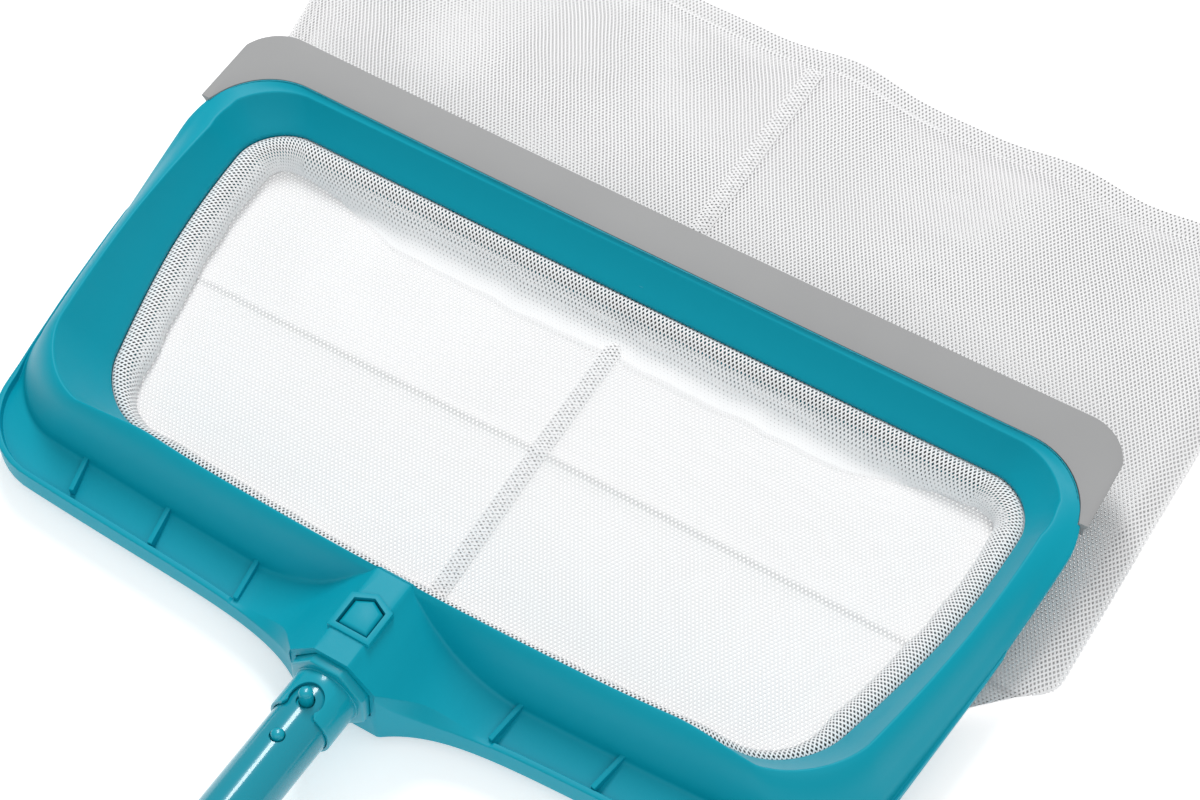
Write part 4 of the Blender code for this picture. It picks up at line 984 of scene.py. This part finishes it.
# ---------------------------------------------------------------- bag seams and end hem
# The panels are overlocked together down the middle, above and below, and the bag's end is turned over
# twice and sewn; the thread is white polyester and stands proud of the mesh.
f = Finish("thread")
twist = f.noise(3800.0, 2.0)
f.set(Base_Color=f.blend(twist, (0.90, 0.90, 0.905, 1), (0.78, 0.78, 0.785, 1)), Roughness=twist * 0.2 + 0.6)
f.bump(twist, 0.3, 0.1 * MM)
THREAD = f.material


def band(name, lines, node, flat):
    """A strip of doubled cloth through cross lines of points, with its own lay."""
    rows, uvs = [], []
    for i, line in enumerate(lines):
        run = 0.0
        uv = []
        for j, p in enumerate(line):
            run += (Vector(p) - Vector(line[j - 1])).length if j else 0.0
            uv.append((i * 3.0 * MM, run))
        rows.append(line)
        uvs.append(uv)
    made = strip_mesh(name, rows, uvs, False)
    face_up(made)
    thicken(made, 0.5 * MM)
    set_down(made, BAND_KNIT, "mesh", "skimmer", node, degrees=80)


def stitch_row(name, places):
    """One small loop of thread at every place."""
    bm = bmesh.new()
    bmesh.ops.create_uvsphere(bm, u_segments=6, v_segments=5, radius=1.0)
    bmesh.ops.scale(bm, verts=bm.verts[:], vec=(1.3 * MM, 0.32 * MM, 0.28 * MM))
    row = set_out(name, to_object("stitch", bm), places, THREAD)
    set_down(row, THREAD, "mesh", "skimmer")


def seam_lines(y0, y1, height):
    """Cross lines of a seam along the middle of the bag, arched up over its turned-in edges."""
    lines = []
    for i in range(int((y1 - y0) / (3 * MM)) + 1):
        y = y0 + i * 3 * MM
        line = []
        for x in (-5.1, -3.8, -2.0, 0.0, 2.0, 3.8, 5.1):
            rise = max(0.0, 1 - (x / 4.8) ** 2)
            line.append((x * MM, y + end_wave(0.0, y), height(x * MM, y) + (0.18 + rise) * MM))
        lines.append(line)
    return lines


upper = seam_lines(108 * MM, 279 * MM, top_height)
lower = seam_lines(-108 * MM, 100 * MM, floor_height)
band("seam_upper_band", upper, "seam_upper", (0.172, 0.0104))
band("seam_lower_band", lower, "seam_lower", (0.209, 0.0104))
zigzag = []
for lines in (upper, lower):
    for i, line in enumerate(lines[:-1]):
        at = Vector(line[3]).lerp(Vector(lines[i + 1][3]), 0.5)
        for side in (-1, 1):
            zigzag.append(((at.x + side * 1.3 * MM, at.y, at.z + 0.2 * MM), (0.0, 0.0, side * 0.45)))
stitch_row("seam_stitches", zigzag)
ends = []
for i in range(194):
    x = (-289.0 + 578.0 * i / 193) * MM
    y = END_Y - 1.0 * MM + end_wave(x, END_Y)
    lift = (1.2 + 1.0 * wave(x * 1.7, 0.3)) * MM
    line = []
    for du, dz in ((-3.4, 0.25), (-1.6, 0.75), (0.5, 1.0), (4.5, 1.15), (7.6, 1.0), (8.6, 0.3), (7.6, -0.35),
                   (4.5, -0.4), (1.5, -0.4)):
        z = top_height(x, END_Y + min(du, 0.0) * MM)
        line.append((x, y + du * MM, z + lift * smooth(-1.0, 4.0, du) + dz * MM))
    ends.append(line)
band("bag_end_band", ends, "bag_end_hem", (0.578, 0.019))
end_row = []
for i in range(1, 193):
    p, q = Vector(ends[i][1]), Vector(ends[i + 1][1])
    end_row.append((tuple(p + Vector((0, 0.4 * MM, 0.3 * MM))), (0.0, 0.0, math.atan2(q.y - p.y, q.x - p.x))))
stitch_row("end_stitches", end_row)

# ---------------------------------------------------------------- clamp ring, hem ring and screws
# Seen from behind: a teal ring screwed up under the frame traps the hem, which is threaded on a dark
# plastic rod; eleven pan-head screws hold the ring.
PLATE_LOW, PLATE_HIGH = -12.3 * MM, -8.9 * MM
clamp_rings = []
for k in range(COUNT):
    m, out = MOUTH[k], outward(k)
    reach = (RIDGE[k] - m).dot(out) + 5.8 * MM
    line = soften([(0.9 * MM, -3.4 * MM, 0.3 * MM, 2), (2.9 * MM, -3.4 * MM, 0.3 * MM, 2),
                   (2.9 * MM, PLATE_HIGH, 0, 0), (reach, PLATE_HIGH, 0.4 * MM, 2),
                   (reach, PLATE_LOW, 0.7 * MM, 3), (-7.0 * MM, PLATE_LOW, 0.7 * MM, 3),
                   (-7.0 * MM, PLATE_LOW + 2 * MM, 0.5 * MM, 2), (0.9 * MM, PLATE_LOW + 2 * MM, 0, 0)])
    clamp_rings.append([Vector((m.x + out.x * p.x, m.y + out.y * p.x, p.y)) for p in line])
clamp = skin("clamp_ring_moulding", clamp_rings)
holes = []
for spot in SCREWS:
    for r, low, high in ((1.8, -20.0, 5.0), (3.4, -20.0, -10.3)):
        circle = [(r * MM * math.cos(a), r * MM * math.sin(a)) for a in (math.tau * j / 24 for j in range(24))]
        holes.append(prism("hole", circle, low * MM, high * MM, 0, Matrix.Translation((spot.x, spot.y, 0))))
carve(clamp, holes)
set_down(clamp, TEAL, "moulding", "skimmer", "rear_ring", degrees=30)
rod_rings = []
for k in range(COUNT):
    m, out = MOUTH[k], outward(k)
    turn = [math.tau * j / 16 for j in range(16)]
    rod_rings.append([Vector((*(m + out * (-4.6 + 2.2 * math.cos(a)) * MM), (-7.1 + 2.2 * math.sin(a)) * MM))
                      for a in turn])
rod = skin("hem_ring_rod", rod_rings)
f = Finish("dark_rod")
draw = f.noise(700.0, 3.0)
f.set(Base_Color=f.blend(draw, (0.045, 0.048, 0.052, 1), (0.075, 0.078, 0.082, 1)))
f.set(Roughness=draw * 0.2 + 0.4)
f.bump(draw, 0.2, 0.05 * MM)
set_down(rod, f.material, "ring_rod", "skimmer", "net_ring")
f = Finish("bright_steel")
scratch = f.noise(1900.0, 4.0, 0.65)
f.set(Base_Color=f.blend(scratch, (0.56, 0.57, 0.58, 1), (0.42, 0.43, 0.44, 1)))
f.set(Roughness=scratch * 0.18 + 0.24, Metallic=1.0)
f.bump(scratch, 0.15, 0.03 * MM)
STEEL = f.material
screw = spun("screw", eased([(0, -12.2, 0), (1.9, -12.2, 0), (2.9, -11.5, 0.5), (3.0, -10.6, 0),
                             (1.5, -10.6, 0), (1.5, 1.2, 0.4), (0.6, 1.8, 0), (0, 1.8, 0)], False),
             Matrix.Identity(4), 24)
slots = [prism("slot", oblong(2 * MM, 0.35 * MM), -15 * MM, -11.4 * MM, 0,
               Matrix.Rotation(math.radians(a), 4, "Z")) for a in (0, 90)]
carve(screw, slots)
shade(screw)
screw_at = [((spot.x, spot.y, 0.0), (0.0, 0.0, 0.9 * i)) for i, spot in enumerate(SCREWS)]
screws = set_out("ring_screws_pan", screw, screw_at, STEEL)
set_down(screws, STEEL, "steel", "skimmer", *["ring_screw_%d" % (i + 1) for i in range(11)], degrees=30)
for node in ("latch_spring", "snap_clip_1", "snap_clip_2"):
    bpy.data.objects[node].data.materials.clear()
    bpy.data.objects[node].data.materials.append(STEEL)

# ---------------------------------------------------------------- floor, lights and camera
# A plain pale floor that glows a little, so shadows stay faint; one long soft light over the blade's side
# and a broad fill from the handle's side, in an even white room.
floor_mesh = bpy.data.meshes.new("floor")
floor_mesh.from_pydata([(-6, -6, 0), (6, -6, 0), (6, 6, 0), (-6, 6, 0)], [], [(0, 1, 2, 3)])
floor = bpy.data.objects.new("floor", floor_mesh)
bpy.context.scene.collection.objects.link(floor)
f = Finish("pale_floor")
f.set(Base_Color=(0.93, 0.93, 0.93, 1), Roughness=0.9)
f.shader.inputs["Emission Color"].default_value = (1, 1, 1, 1)
f.shader.inputs["Emission Strength"].default_value = 0.42
floor.data.materials.append(f.material)
floor.location.z = -0.0005

world = bpy.data.worlds.new("studio")
world.use_nodes = True
world.node_tree.nodes["Background"].inputs["Color"].default_value = (1.0, 1.0, 1.0, 1)
world.node_tree.nodes["Background"].inputs["Strength"].default_value = 0.4
bpy.context.scene.world = world


def area_light(name, at, size, size_y, power):
    lamp = bpy.data.lights.new(name, "AREA")
    lamp.shape = "RECTANGLE"
    lamp.size = size
    lamp.size_y = size_y
    lamp.energy = power
    ob = bpy.data.objects.new(name, lamp)
    ob.location = at
    ob.rotation_euler = (Vector((0.0, 0.0, 0.03)) - Vector(at)).to_track_quat("-Z", "Y").to_euler()
    bpy.context.scene.collection.objects.link(ob)


area_light("key", Vector((-0.316, 0.54, 0.78)) * 2.6, 0.5, 1.3, 37)
area_light("fill", (1.0, -1.2, 2.5), 4.0, 3.0, 34)

scene = bpy.context.scene
scene.view_settings.view_transform = "Standard"
camera = bpy.data.cameras.new("camera")
camera.lens = 88.57
camera.sensor_width = 36.0
camera_ob = bpy.data.objects.new("camera", camera)
right = Vector((0.848, 0.529, -0.044))
up = Vector((-0.426, 0.728, 0.537))
back = Vector((0.316, -0.436, 0.843))
turn = Matrix((right, up, back)).transposed()
camera_ob.matrix_world = Matrix.Translation(Vector((0.4927, -0.6285, 1.2700)) + MOUTH_AT) @ turn.to_4x4()
scene.collection.objects.link(camera_ob)
scene.camera = camera_ob
